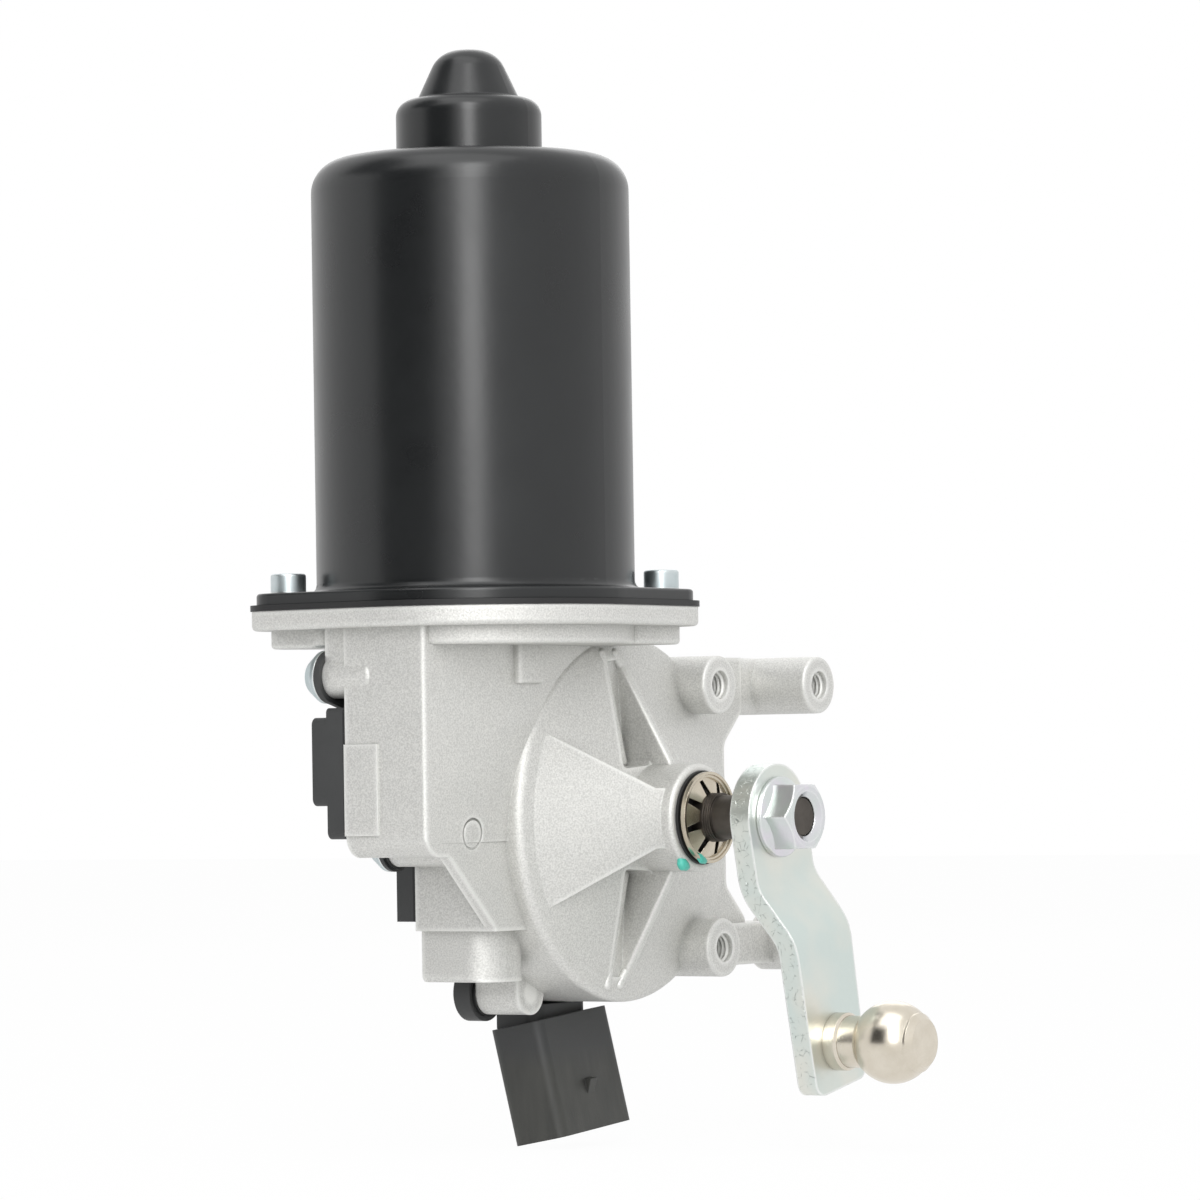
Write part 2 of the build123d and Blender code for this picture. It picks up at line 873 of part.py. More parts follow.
def gear_cover():
    plate = prism_x(cover_outline(), cover_back, cover_plane - gasket_thickness)
    ears = prism_x(cover_ears(cover_ear_r), cover_plane - cover_ear_thickness, cover_plane - gasket_thickness)
    body = plate + ears
    pad = outline(
        (block_left, cover_pad_bottom, 1.5), (block_left + cover_pad_width, cover_pad_bottom, 1.5),
        (block_left + cover_pad_width, cover_pad_top, 1.5), (block_left, cover_pad_top, 1.5),
    )
    body += prism_x(pad, cover_back - cover_pad_height, cover_back)
    body -= hollow_of_cover()
    lug_y, lug_z = cover_screw_places()[2][:2]
    body += rod_x(lug_cup_r, cover_back, cover_plane - gasket_thickness, lug_y, lug_z)
    for y, z, seat, head_r in cover_screw_places()[1:]:
        body -= rod_x(head_r + head_room, cover_back - 1, seat, y, z)
    body += upper_ear()
    body += connector_shroud()
    for y, z, seat, _ in cover_screw_places():
        body -= rod_x(cover_screw_r + thread_gap, seat, seat + cover_thickness, y, z)
    return body


def hollow_of_cover():
    """Inside of the cover behind the wheel."""
    return rod_x(drum_r - drum_wall - cover_hollow_inset, cover_back + cover_skin, cover_plane, shaft_y, 0)


def upper_ear():
    """Ear that steps out over the upper screw's longer boss."""
    y, z = cover_screw_places()[0][:2]
    seat = upper_boss_back
    foot_place = Pos(ear_foot_dy, ear_foot_dz)
    shape = make_hull(Circle(cover_ear_r).edges() + (foot_place * Circle(ear_foot_r)).edges())
    ear = prism_x(shape, seat - cover_ear_thickness, seat, y, z)
    foot = foot_place * Circle(ear_foot_r - ear_foot_inset)
    foot_back = seat - cover_ear_thickness + ear_foot_inset
    return ear + prism_x(foot, foot_back, cover_plane - cover_thickness / 2, y, z)


def shroud_frame():
    """Place of the connector: its origin is the middle of the shroud's closed end."""
    place = Pos(connector_x, shaft_y + connector_dy, connector_top_z)
    return place * Rot(0, -connector_tilt, 0) * Rot(connector_lean, 0, 0)


def connector_shroud():
    """Plug shroud with its latch, the collar above it and the stem to the cover."""
    outside = RectangleRounded(connector_depth, connector_width, connector_corner)
    inner_depth = connector_depth - 2 * connector_wall
    inner_width = connector_width - 2 * connector_wall
    inside = RectangleRounded(inner_depth, inner_width, connector_corner - connector_wall + 0.5)
    shroud = prism_z(outside, -connector_length, 0)
    shroud -= prism_z(inside, -connector_length, -connector_floor)
    face_x = connector_depth / 2 - 0.2
    latch = Plane.XZ * outline(
        (face_x, latch_top - latch_length), (face_x + latch_height + 0.2, latch_top - 0.4),
        (face_x, latch_top),
    )
    shroud += extrude(latch, latch_half_width, both=True)
    shroud = shroud_frame() * shroud
    front = connector_x + connector_wall * 2
    collar_face = outline(
        (cover_back, -collar_half_width, 1), (front, -collar_half_width, 3), (front, collar_half_width, 3),
        (cover_back, collar_half_width, 1),
    )
    collar = prism_z(
        collar_face, connector_top_z - collar_height, -drum_r - 0.4, 0, shaft_y + connector_dy,
    )
    stem = prism_x(
        outline(
            (-collar_half_width, -stem_reach), (collar_half_width, -stem_reach),
            (collar_half_width, stem_reach / 2), (-collar_half_width, stem_reach / 2),
        ),
        cover_back, cover_plane - gasket_thickness, shaft_y + connector_dy, connector_top_z + stem_reach - 2,
    )
    return shroud + collar + stem


def connector_pins():
    """Row of flat blades that stand on the shroud's floor."""
    pins = Part()
    first = -(pin_count - 1) * pin_pitch / 2
    for index in range(pin_count):
        blade = Pos(0, first + index * pin_pitch) * Rectangle(pin_thickness, pin_width)
        pins += prism_z(blade, -connector_length + pin_recess, -connector_floor)
    return shroud_frame() * pins


def cover_gasket():
    """Flat gasket that follows the joint between casting and cover."""
    face = cover_outline() - (Pos(shaft_y, 0) * Circle(drum_r - drum_wall))
    room = outline(
        (block_left + drum_wall, cover_rim_bottom + drum_wall), (motor_y, cover_rim_bottom + drum_wall),
        (motor_y, cover_rim_top - drum_wall), (block_left + drum_wall, cover_rim_top - drum_wall),
    )
    face -= room
    face += cover_ears(cover_ear_r - 0.5)
    body = prism_x(face, cover_plane - gasket_thickness, cover_plane)
    for y, z, seat, _ in cover_screw_places():
        body -= rod_x(cover_screw_r + thread_gap, seat, seat + cover_thickness, y, z)
    return body


def cover_screws():
    """Flange head screws with a cross drive, heads on the back of the cover."""
    screws = Part()
    for y, z, seat, head_r in cover_screw_places():
        top = seat - cover_head_height
        head = turned_x(
            y, z,
            (top, 0), (top, head_r - cover_head_taper, 0.8), (seat - cover_flange_height, head_r),
            (seat, head_r), (seat, 0),
        )
        cross = Rectangle(drive_length, drive_width) + Rectangle(drive_width, drive_length)
        drive = prism_x(cross, top, top + drive_depth, y, z)
        screws += head - drive + rod_x(cover_screw_r, seat, seat + cover_screw_length, y, z)
    return screws


# Motor inside

def arc_shell(inner_r, outer_r, z_from, z_to, middle, sweep_angle):
    """Part of a ring about the motor axis, centred on an angle."""
    ring = ring_z(inner_r, outer_r, z_from, z_to)
    reach = 3 * outer_r
    half = radians(sweep_angle / 2)
    wedge = outline(
        (0, 0), (reach * cos(half), -reach * sin(half)),
        (reach, 0), (reach * cos(half), reach * sin(half)),
    )
    return ring & prism_z(Rot(0, 0, middle) * wedge, z_from, z_to, motor_x, motor_y)


def magnets():
    pair = Part()
    for middle in magnet_angles:
        pair += arc_shell(magnet_inner_r, magnet_outer_r, magnet_bottom, magnet_top, middle, magnet_arc)
    return pair


def thread_profile(inner_r, outer_r):
    """Flanks of the worm thread in an axial plane, as (radius, height) corners."""
    root = thread_thickness / 2 + (worm_pitch_r - inner_r) * flank_slope
    tip = thread_thickness / 2 - (outer_r - worm_pitch_r) * flank_slope
    return outline((inner_r, -root), (outer_r, -tip), (outer_r, tip), (inner_r, root))


def worm_thread():
    turns = 2 * worm_half_length / pitch
    rise = turns * pitch
    path = Pos(0, 0, -rise / 2) * Helix(pitch, rise, worm_pitch_r)
    start = Pos(0, 0, -rise / 2) * (Plane.XZ * thread_profile(worm_root_r - 0.4, worm_tip_r))
    thread = sweep(start, path=path, is_frenet=True)
    phase = -90 + degrees(2 * pi * (rise / 2) / pitch)
    return Pos(motor_x, motor_y, 0) * Rot(0, 0, phase) * thread


def armature_shaft():
    bush_seat = armature_shaft_bottom + lower_bush_length
    body = turned_z(
        (0, armature_shaft_bottom), (armature_shaft_r - 0.3, armature_shaft_bottom, 0.2),
        (armature_shaft_r - 0.3, bush_seat), (worm_root_r, bush_seat),
        (worm_root_r, worm_half_length + 2), (armature_shaft_r, worm_half_length + 2),
        (armature_shaft_r, armature_shaft_top, 0.5), (0, armature_shaft_top),
    )
    return body + worm_thread()


def lamination_stack():
    body = ring_z(armature_shaft_r, stack_r, stack_bottom, stack_top)
    for index in range(slot_count):
        mouth = Rectangle(slot_depth, slot_width, align=(Align.MAX, Align.CENTER))
        slot = Rot(0, 0, index * 360 / slot_count) * (Pos(stack_r + 1, 0) * mouth)
        body -= prism_z(slot, stack_bottom, stack_top, motor_x, motor_y)
    return body


def windings():
    """End turns of the coils, one ring of copper on each end of the stack."""
    inner_r = armature_shaft_r + winding_clearance
    lower = turned_z(
        (inner_r, winding_bottom, winding_inner_round), (winding_r, winding_bottom, winding_outer_round),
        (winding_r, stack_bottom), (inner_r, stack_bottom),
    )
    upper = turned_z(
        (inner_r, stack_top), (winding_r, stack_top),
        (winding_r, winding_top, winding_outer_round), (inner_r, winding_top, winding_inner_round),
    )
    return lower + upper


def commutator():
    body = ring_z(armature_shaft_r, commutator_r, commutator_bottom, commutator_top)
    body += ring_z(armature_shaft_r, commutator_r + 1.5, commutator_top, commutator_top + 2)
    for index in range(slot_count):
        cut = Rot(0, 0, (index + 0.5) * 360 / slot_count) * (Pos(commutator_r, 0) * Rectangle(2, 0.6))
        body -= prism_z(cut, commutator_bottom, commutator_top, motor_x, motor_y)
    return body


def bearing_rings():
    """Outer ring, inner ring and balls of the bearing below the brush recess."""
    low, high = recess_floor - bearing_width, recess_floor
    inner_r = armature_shaft_r + bearing_race
    outer_r = bearing_outer_r - bearing_race
    outer = ring_z(outer_r, bearing_outer_r, low, high)
    inner = ring_z(armature_shaft_r, inner_r, low, high)
    middle_r = (inner_r + outer_r) / 2
    ball = (outer_r - inner_r) / 2 + 0.6
    track = Torus(middle_r, ball + running_gap)
    track = Pos(motor_x, motor_y, (low + high) / 2) * track
    balls = Part()
    for index in range(ball_count):
        angle = 2 * pi * index / ball_count
        place = Pos(motor_x + middle_r * cos(angle), motor_y + middle_r * sin(angle), (low + high) / 2)
        balls += place * Sphere(ball)
    return outer - track, inner - track, balls


def end_bush():
    """Sintered bush in the nose of the can."""
    step_floor = can_step_top - can_wall
    low, top = step_floor - nose_bush_below, step_floor + nose_bush_above
    return ring_z(armature_shaft_r + running_gap, bush_seat_r, low, top)


def bush_clip():
    """Sprung washer that holds the nose bush in the can."""
    top = can_step_top - can_wall
    return ring_z(bush_seat_r, can_step_r - can_wall, top - 1, top)


def worm_bush():
    low = armature_shaft_bottom - 1
    top = low + lower_bush_length + 1
    bore_r = armature_shaft_r - 0.3 + running_gap
    return rod_z(lower_bush_r, low, top) - rod_z(bore_r, armature_shaft_bottom - face_gap, top)


# Brush gear

def brush_plate():
    low = flange_face - ledge_depth
    return ring_z(brush_plate_bore_r, brush_plate_r, low, flange_face)


def radial_box(inner, outer, width, z_from, z_to, angle):
    """Box that points at the motor axis at an angle."""
    face = Pos((inner + outer) / 2, 0) * Rectangle(outer - inner, width)
    return prism_z(Rot(0, 0, angle) * face, z_from, z_to, motor_x, motor_y)


def brushes():
    low = flange_face + brush_lift
    group = Part()
    for angle in brush_angles:
        group += radial_box(
            commutator_r - 1, commutator_r + brush_length, brush_width, low, low + brush_height, angle,
        )
    return group - rod_z(commutator_r + running_gap, low, low + brush_height)


def brush_holders():
    """Open boxes on the brush plate in which the brushes slide."""
    low = flange_face
    floor = low + brush_lift
    inner, outer = commutator_r + holder_gap, brush_plate_r - holder_inset
    group = Part()
    for angle in brush_angles:
        width = brush_width + 2 * holder_wall
        box = radial_box(inner, outer, width, low, floor + brush_height + holder_wall, angle)
        box -= radial_box(
            inner, outer - holder_wall, brush_width + 2 * running_gap, floor - running_gap,
            floor + brush_height + running_gap, angle,
        )
        group += box
    return group


def brush_springs():
    """Coil springs that push the brushes, drawn as their outer shape with a bore."""
    start = commutator_r + brush_length
    end = brush_plate_r - holder_inset - holder_wall
    height = flange_face + brush_lift + brush_height / 2
    group = Part()
    for angle in brush_angles:
        coil = turned_x(
            0, 0,
            (start, spring_r - 2 * spring_wire_r), (start, spring_r), (end, spring_r),
            (end, spring_r - 2 * spring_wire_r),
        )
        group += Pos(motor_x, motor_y, height) * Rot(0, 0, angle) * coil
    return group


# Output shaft group

def wheel_face():
    """Toothed outline of the worm wheel, one straight-flanked tooth at a time."""
    tip_r = wheel_pitch_r + gear_module
    root_r = wheel_pitch_r - 1.2 * gear_module
    half = pitch / 4 - tooth_backlash
    points = []
    for tooth in range(wheel_teeth):
        middle = 2 * pi * (tooth + 0.5) / wheel_teeth
        for radius, side in ((root_r, -1), (tip_r, -1), (tip_r, 1), (root_r, 1)):
            offset = (half - (radius - wheel_pitch_r) * flank_slope) / radius
            points.append((radius * cos(middle + side * offset), radius * sin(middle + side * offset)))
    return make_face(Polyline(*points, close=True))


def worm_wheel():
    lean = degrees(wheel_width * gear_module / (2 * worm_pitch_r) / wheel_pitch_r)
    phase = 180 - 180 / wheel_teeth * (wheel_teeth % 2)
    face = Rot(0, 0, phase) * wheel_face()
    low = plane_x(wheel_back, shaft_y, 0) * (Rot(0, 0, -lean / 2) * face)
    high = plane_x(wheel_front, shaft_y, 0) * (Rot(0, 0, lean / 2) * face)
    body = loft([low, high], ruled=True)
    rim_r = wheel_pitch_r - 1.2 * gear_module - wheel_rim
    for x_from, x_to in ((wheel_back, motor_x - wheel_web / 2), (motor_x + wheel_web / 2, wheel_front)):
        body -= ring_x(wheel_hub_r, rim_r, x_from, x_to)
    return body - rod_x(shaft_r, wheel_back, wheel_front, shaft_y, 0)


def hub_plate():
    body = ring_x(shaft_r, hub_plate_r, wheel_front, wheel_front + hub_plate_thickness)
    return body


def park_disc():
    return ring_x(shaft_r + park_disc_gap, wheel_hub_r, wheel_back - park_disc_thickness, wheel_back)


def thrust_washer():
    return ring_x(shaft_r, washer_r, wheel_front + hub_plate_thickness, gear_floor - face_gap)


def output_shaft():
    """Shaft with fine grooves behind its neck and the end that takes the nut."""
    groove_r = shaft_r - knurl_groove_depth
    corners = [(shaft_back, 0), (shaft_back, shaft_r, 0.5)]
    for index in range(knurl_groove_count, 0, -1):
        start = knurl_end - 2 * index * knurl_groove_width
        stop = start + knurl_groove_width
        corners += [(start, shaft_r), (start, groove_r), (stop, groove_r), (stop, shaft_r)]
    end = crank_front + nut_height - stud_end_recess
    corners += [
        (knurl_end, shaft_r), (knurl_end, shaft_neck_r), (crank_front, shaft_neck_r),
        (crank_front, nut_thread_r - seat_gap), (end, nut_thread_r - seat_gap, 0.5), (end, 0),
    ]
    return turned_x(shaft_y, 0, *corners)


def output_bushes():
    inner = shaft_r + running_gap
    front_end = tower_end - seal_depth
    back = ring_x(inner, tower_bore_r, gear_floor, gear_floor + back_bush_length)
    front = ring_x(inner, tower_bore_r, front_end - front_bush_length, front_end)
    return back + front


def output_seal():
    return ring_x(shaft_r + running_gap, seal_r, tower_end - seal_depth, tower_end + seal_proud)


def retainer_ring():
    """Dished push-on ring with a rolled rim and slots between its teeth."""
    back = tower_end + seal_proud + face_gap
    crown = back + retainer_dish
    rim_inner_r = retainer_r - retainer_thickness
    body = turned_x(
        shaft_y, 0,
        (crown, shaft_r), (crown + retainer_thickness, shaft_r),
        (back + retainer_thickness, rim_inner_r, 0.4),
        (back + retainer_lip, rim_inner_r), (back + retainer_lip, retainer_r), (back, retainer_r, 0.7),
        (back, rim_inner_r - 1, 0.5),
    )
    for index in range(retainer_slots):
        slot = outline(
            (0, -retainer_slot_width), (retainer_slot_r, -retainer_slot_width / 2),
            (retainer_slot_r, retainer_slot_width / 2), (0, retainer_slot_width),
        )
        angle = retainer_slot_turn + index * 360 / retainer_slots
        body -= prism_x(Rot(0, 0, angle) * slot, back, crown + retainer_thickness, shaft_y, 0)
    return body


# Crank arm, drawn pointing straight down and then turned about the shaft

def turn_crank(piece):
    return Pos(0, shaft_y, 0) * Rot(crank_angle, 0, 0) * Pos(0, -shaft_y, 0) * piece


def crank_arm():
    front, back = crank_front, crank_back
    foot = -crank_centres - crank_end_overhang
    side = outline(
        (back, crank_hub_r + 1), (front, crank_hub_r + 1), (front, -joggle_start, crank_bend_r),
        (front + crank_joggle, -joggle_end, crank_bend_r + crank_thickness), (front + crank_joggle, foot),
        (back + crank_joggle, foot), (back + crank_joggle, -joggle_end - 1, crank_bend_r),
        (back, -joggle_start - 1, crank_bend_r + crank_thickness),
    )
    blade = prism_y(side, shaft_y - crank_hub_r, shaft_y + crank_hub_r)
    hub = Circle(crank_hub_r)
    half = crank_end_width / 2 - crank_end_corner
    toes = Pos(-half, foot + crank_end_corner) * Circle(crank_end_corner)
    toes += Pos(half, foot + crank_end_corner) * Circle(crank_end_corner)
    arm = blade & prism_x(make_hull(hub.edges() + toes.edges()), back, front + crank_joggle, shaft_y, 0)
    arm -= rod_x(shaft_neck_r + seat_gap, back, front, shaft_y, 0)
    arm -= rod_x(ball_rivet_r + seat_gap, back, front + crank_joggle, shaft_y, -crank_centres)
    return turn_crank(arm)


def crank_nut():
    """Flange nut with a wide mouth."""
    base = crank_front
    top = base + nut_height
    hexagon = prism_x(RegularPolygon(nut_flats / 2, 6, major_radius=False), base, top, shaft_y, 0)
    corner = nut_flats / sqrt(3)
    envelope = turned_x(
        shaft_y, 0,
        (base, 0), (base, corner), (top - 0.9, corner), (top, corner - 1.3), (top, 0),
    )
    rim = turned_x(
        shaft_y, 0,
        (base, 0), (base, nut_flange_r, 0.3), (base + nut_flange_height - 0.6, nut_flange_r, 0.4),
        (base + nut_flange_height + 0.8, nut_flats / 2 - 0.5), (base + nut_flange_height + 0.8, 0),
    )
    mouth = turned_x(
        shaft_y, 0,
        (base, 0), (base, nut_thread_r), (top - nut_mouth_depth, nut_thread_r), (top, nut_mouth_r), (top, 0),
    )
    return (hexagon & envelope) + rim - mouth


def ball_stud():
    """Riveted stud: shank, collar, neck, ball and end nub turned in one piece."""
    base = stud_base
    centre = base + ball_offset
    rivet_end = base - crank_thickness - rivet_head
    collar_end = base + ball_collar_length
    ball_start = centre - sqrt(ball_r ** 2 - ball_neck_r ** 2)
    ball_stop = centre + sqrt(ball_r ** 2 - ball_nub_r ** 2)
    end = base + ball_nub_end
    shank = Polyline(
        (rivet_end, 0), (rivet_end, ball_rivet_r), (base, ball_rivet_r), (base, ball_collar_r),
        (collar_end - 0.5, ball_collar_r), (collar_end, ball_collar_r - 0.5), (collar_end, ball_neck_r),
        (ball_start, ball_neck_r),
    )
    ball = ThreePointArc((ball_start, ball_neck_r), (centre, ball_r), (ball_stop, ball_nub_r))
    nub = Polyline(
        (ball_stop, ball_nub_r), (end - ball_nub_chamfer, ball_nub_r),
        (end, ball_nub_r - ball_nub_chamfer), (end, 0), (rivet_end, 0),
    )
    plane = Plane(origin=(0, shaft_y, -crank_centres), x_dir=(1, 0, 0), z_dir=(0, -1, 0))
    profile = plane * make_face(shank + ball + nub)
    return turn_crank(revolve(profile, Axis((0, shaft_y, -crank_centres), (1, 0, 0))))


def park_contacts():
    """Sprung strips on the cover that wipe the contact disc on the wheel."""
    group = Part()
    tip = wheel_back - park_disc_thickness - contact_gap
    back = cover_back + cover_skin
    for z in (-contact_pitch / 2, contact_pitch / 2):
        strip = Pos(contact_length / 2, z) * Rectangle(contact_length, contact_width)
        finger = Pos(contact_width, z) * Rectangle(contact_sheet, contact_width)
        group += prism_x(strip, back, back + contact_sheet, shaft_y, 0)
        group += prism_x(finger, back, tip, shaft_y, 0)
    return group


def write(name, piece):
    export_step(piece, "parts/" + name + ".step")


os.makedirs("parts", exist_ok=True)
bearing_outer, bearing_inner, bearing_balls = bearing_rings()
pieces = {
    "gear_housing": gear_housing(),
    "motor_can": motor_can(),
    "can_gasket": can_gasket(),
    "flange_screws": flange_screws(),
    "gear_cover": gear_cover(),
    "cover_gasket": cover_gasket(),
    "cover_screws": cover_screws(),
    "connector_pins": connector_pins(),
    "magnets": magnets(),
    "nose_bush": end_bush(),
    "bush_clip": bush_clip(),
    "brush_plate": brush_plate(),
    "brush_holders": brush_holders(),
    "brushes": brushes(),
    "brush_springs": brush_springs(),
    "bearing_outer_ring": bearing_outer,
    "bearing_balls": bearing_balls,
    "bearing_inner_ring": bearing_inner,
    "worm_bush": worm_bush(),
    "output_bushes": output_bushes(),
    "output_seal": output_seal(),
    "park_contacts": park_contacts(),
    "worm_shaft": armature_shaft(),
    "lamination_stack": lamination_stack(),
    "windings": windings(),
    "commutator": commutator(),
    "output_shaft": output_shaft(),
    "worm_wheel": worm_wheel(),
    "hub_plate": hub_plate(),
    "park_disc": park_disc(),
    "thrust_washer": thrust_washer(),
    "retainer_ring": retainer_ring(),
    "crank_arm": crank_arm(),
    "crank_nut": crank_nut(),
    "ball_stud": ball_stud(),
}
for name, piece in pieces.items():
    write(name, piece)
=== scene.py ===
# %% [markdown]
# # A wiper motor, dressed for the camera
#
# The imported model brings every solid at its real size. Nothing here moves or resizes
# those solids. This script gives each one its finish, adds details that are too fine for the
# solids, and lights the whole thing on a white table.
#
# Every length in Blender is in metres, so 0.001 is one millimetre.

# %% Load the frame
import bpy
import bmesh
import json
from math import atan2, cos, pi, radians, sin
from mathutils import Matrix, Vector


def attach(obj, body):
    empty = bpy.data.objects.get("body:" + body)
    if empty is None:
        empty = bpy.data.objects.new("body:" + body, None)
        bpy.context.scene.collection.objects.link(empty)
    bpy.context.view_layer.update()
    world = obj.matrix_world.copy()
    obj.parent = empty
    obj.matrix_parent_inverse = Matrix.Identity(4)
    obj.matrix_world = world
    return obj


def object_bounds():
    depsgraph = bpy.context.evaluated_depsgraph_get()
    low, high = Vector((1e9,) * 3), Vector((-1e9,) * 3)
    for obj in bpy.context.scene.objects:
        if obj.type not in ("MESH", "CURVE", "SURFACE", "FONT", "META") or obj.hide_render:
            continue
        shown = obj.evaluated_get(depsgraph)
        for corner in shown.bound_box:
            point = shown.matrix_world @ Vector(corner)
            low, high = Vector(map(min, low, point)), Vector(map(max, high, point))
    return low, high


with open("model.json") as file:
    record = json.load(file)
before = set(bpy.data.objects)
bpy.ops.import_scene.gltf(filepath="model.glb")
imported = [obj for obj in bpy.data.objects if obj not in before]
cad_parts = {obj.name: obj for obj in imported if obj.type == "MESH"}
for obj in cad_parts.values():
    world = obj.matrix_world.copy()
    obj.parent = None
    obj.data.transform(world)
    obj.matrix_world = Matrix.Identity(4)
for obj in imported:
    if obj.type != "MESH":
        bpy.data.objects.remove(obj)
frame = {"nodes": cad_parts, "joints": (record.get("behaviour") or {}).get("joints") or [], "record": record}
cad_low, cad_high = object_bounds()
cad_middle = (cad_low + cad_high) / 2
nodes = frame["nodes"]
record = frame["record"]
scene = bpy.context.scene
mm = 0.001

# %% [markdown]
# ## Colours and nodes
#
# A colour picked on screen is an sRGB value, but the renderer works with linear light. One
# function turns the first into the second, so every colour below can be read as a hex code.
#
# A material is a small tree of nodes. One helper adds a node of any kind with its settings,
# and links an input when it is given another node's output instead of a number.


# %% Helpers for colours and nodes
def colour(code):
    """An sRGB hex code as linear red, green, blue and alpha."""
    channels = [int(code[i:i + 2], 16) / 255 for i in (0, 2, 4)]
    linear = [c / 12.92 if c <= 0.04045 else ((c + 0.055) / 1.055) ** 2.4 for c in channels]
    return (*linear, 1.0)


def add(tree, kind, inputs=None, **settings):
    """Adds a shader node. An input given as another node's output is linked."""
    node = tree.nodes.new("ShaderNode" + kind)
    for name, value in settings.items():
        setattr(node, name, value)
    for name, value in (inputs or {}).items():
        if isinstance(value, bpy.types.NodeSocket):
            tree.links.new(value, node.inputs[name])
        else:
            node.inputs[name].default_value = value
    return node


def start_finish(name, **sockets):
    """A new material: its tree, its Principled shader and the Object coordinates."""
    material = bpy.data.materials.new(name)
    material.use_nodes = True
    tree = material.node_tree
    shader = tree.nodes["Principled BSDF"]
    for socket, value in sockets.items():
        shader.inputs[socket.replace("_", " ")].default_value = value
    place = add(tree, "TexCoord").outputs["Object"]
    return material, tree, shader, place


def pattern_scale(size):
    """The Scale of a pattern whose features are about this many millimetres across."""
    return 1 / (size * mm)


def connect(tree, shader, **sources):
    """Links outputs to the shader's sockets, which are named with underscores for spaces."""
    for socket, source in sources.items():
        tree.links.new(source, shader.inputs[socket.replace("_", " ")])


def describe(finish):
    """Prints how many nodes a finish is made of."""
    print(finish.name, "has", len(finish.node_tree.nodes), "nodes")


print("white is", [round(c, 3) for c in colour("ffffff")])

# %% [markdown]
# ## Edges and creases
#
# The outer edges of a thing are lightened, partly as rubbed wear and partly as a painted
# highlight, and its corners are darkened as painted shade. An Ambient Occlusion node finds both.
# Looking inwards, through the metal, only a spot near an outer edge has another face close by.
# Looking outwards, only a spot in a corner has one. Each helper turns that measure into a share
# that a Mix node can use.


# %% Helpers that find edges and creases
def worn_and_lit_edges(tree, reach):
    """How near a spot lies to an outer edge, from 0 on a face to 1 on the edge."""
    inside = add(tree, "AmbientOcclusion", {"Distance": reach * mm}, inside=True, only_local=True,
                 samples=4)
    return add(tree, "MapRange", {"Value": inside.outputs["AO"], "From Min": 1.0, "From Max": 0.55,
                                  "To Min": 0.0, "To Max": 1.0}).outputs[0]


def creases(tree, reach, share, samples=4):
    """How deep a spot lies in a corner, from 0 in the open to share in the crease."""
    hollow = add(tree, "AmbientOcclusion", {"Distance": reach * mm}, samples=samples)
    return add(tree, "MapRange", {"Value": hollow.outputs["AO"], "From Min": 0.85, "From Max": 0.35,
                                  "To Min": 0.0, "To Max": share}).outputs[0]


# %% [markdown]
# ## Die-cast aluminium
#
# The gear housing is aluminium forced into a steel die, then tumbled or blasted with fine grit
# to take the burrs off. The eye reads a pale, slightly warm grey without mirror reflections.
# Four layers make it: a fine grit that breaks up the highlight, a broader mottle where the
# metal froze at different speeds, edges lightened partly by tumbling wear and partly as a
# painted highlight, and painted shade that darkens the creases. A Bevel node rounds the look of
# every hard edge, so that a thin line of light runs along it. The grit is drawn at 0.35 mm, about
# twice as coarse as the real one, so that it still shows in the picture.


# %% Die-cast aluminium
def die_cast_aluminium():
    material, tree, shader, place = start_finish("die-cast aluminium, blasted", Metallic=0.7)
    grit = add(tree, "TexNoise", {"Vector": place, "Scale": pattern_scale(0.35), "Detail": 3.0})
    mottle = add(tree, "TexNoise", {"Vector": place, "Scale": pattern_scale(8), "Detail": 5.0})
    speckle = add(tree, "MapRange", {"Value": grit.outputs["Fac"], "From Min": 0.35, "From Max": 0.65})
    base = add(tree, "Mix", {0: mottle.outputs["Fac"], 6: colour("cfcfcc"), 7: colour("dfdeda")},
               data_type="RGBA")
    flecked = add(tree, "Mix", {0: speckle.outputs[0], 6: colour("b8b8b5"), 7: colour("f2f2ef")},
                  data_type="RGBA")
    mixed = add(tree, "Mix", {0: 0.42, 6: base.outputs[2], 7: flecked.outputs[2]}, data_type="RGBA")
    # Edges lighten towards f4f4f1, partly as tumbling wear and partly as a painted highlight
    edge_wear_and_highlight = add(tree, "Math", {0: worn_and_lit_edges(tree, 1.1), 1: 0.85}, operation="MULTIPLY")
    edged = add(tree, "Mix", {0: edge_wear_and_highlight.outputs[0], 6: mixed.outputs[2], 7: colour("f4f4f1")},
                data_type="RGBA")
    # Painted shade: corners and creases darken towards 8b8c88
    shaded = add(tree, "Mix", {0: creases(tree, 3, 0.35), 6: edged.outputs[2], 7: colour("8b8c88")},
                 data_type="RGBA")
    rough = add(tree, "MapRange", {"Value": mottle.outputs["Fac"], "To Min": 0.5, "To Max": 0.64})
    edge = add(tree, "Bevel", {"Radius": 0.4 * mm}, samples=4)
    bump = add(tree, "Bump", {"Height": grit.outputs["Fac"], "Distance": 0.08 * mm,
                              "Strength": 0.8, "Normal": edge.outputs[0]})
    connect(tree, shader, Base_Color=shaded.outputs[2], Roughness=rough.outputs[0],
            Normal=bump.outputs[0])
    return material


cast_aluminium = die_cast_aluminium()
describe(cast_aluminium)


# %% [markdown]
# ## Black paint on drawn steel
#
# The motor can is deep-drawn from sheet steel and coated black. The coat is smooth enough to
# mirror the studio lights as long soft stripes, with a faint orange-peel ripple about 2 mm
# wide. A dielectric paint has an IOR near 1.5, so it mirrors little when faced and a lot
# along its grazing edges.


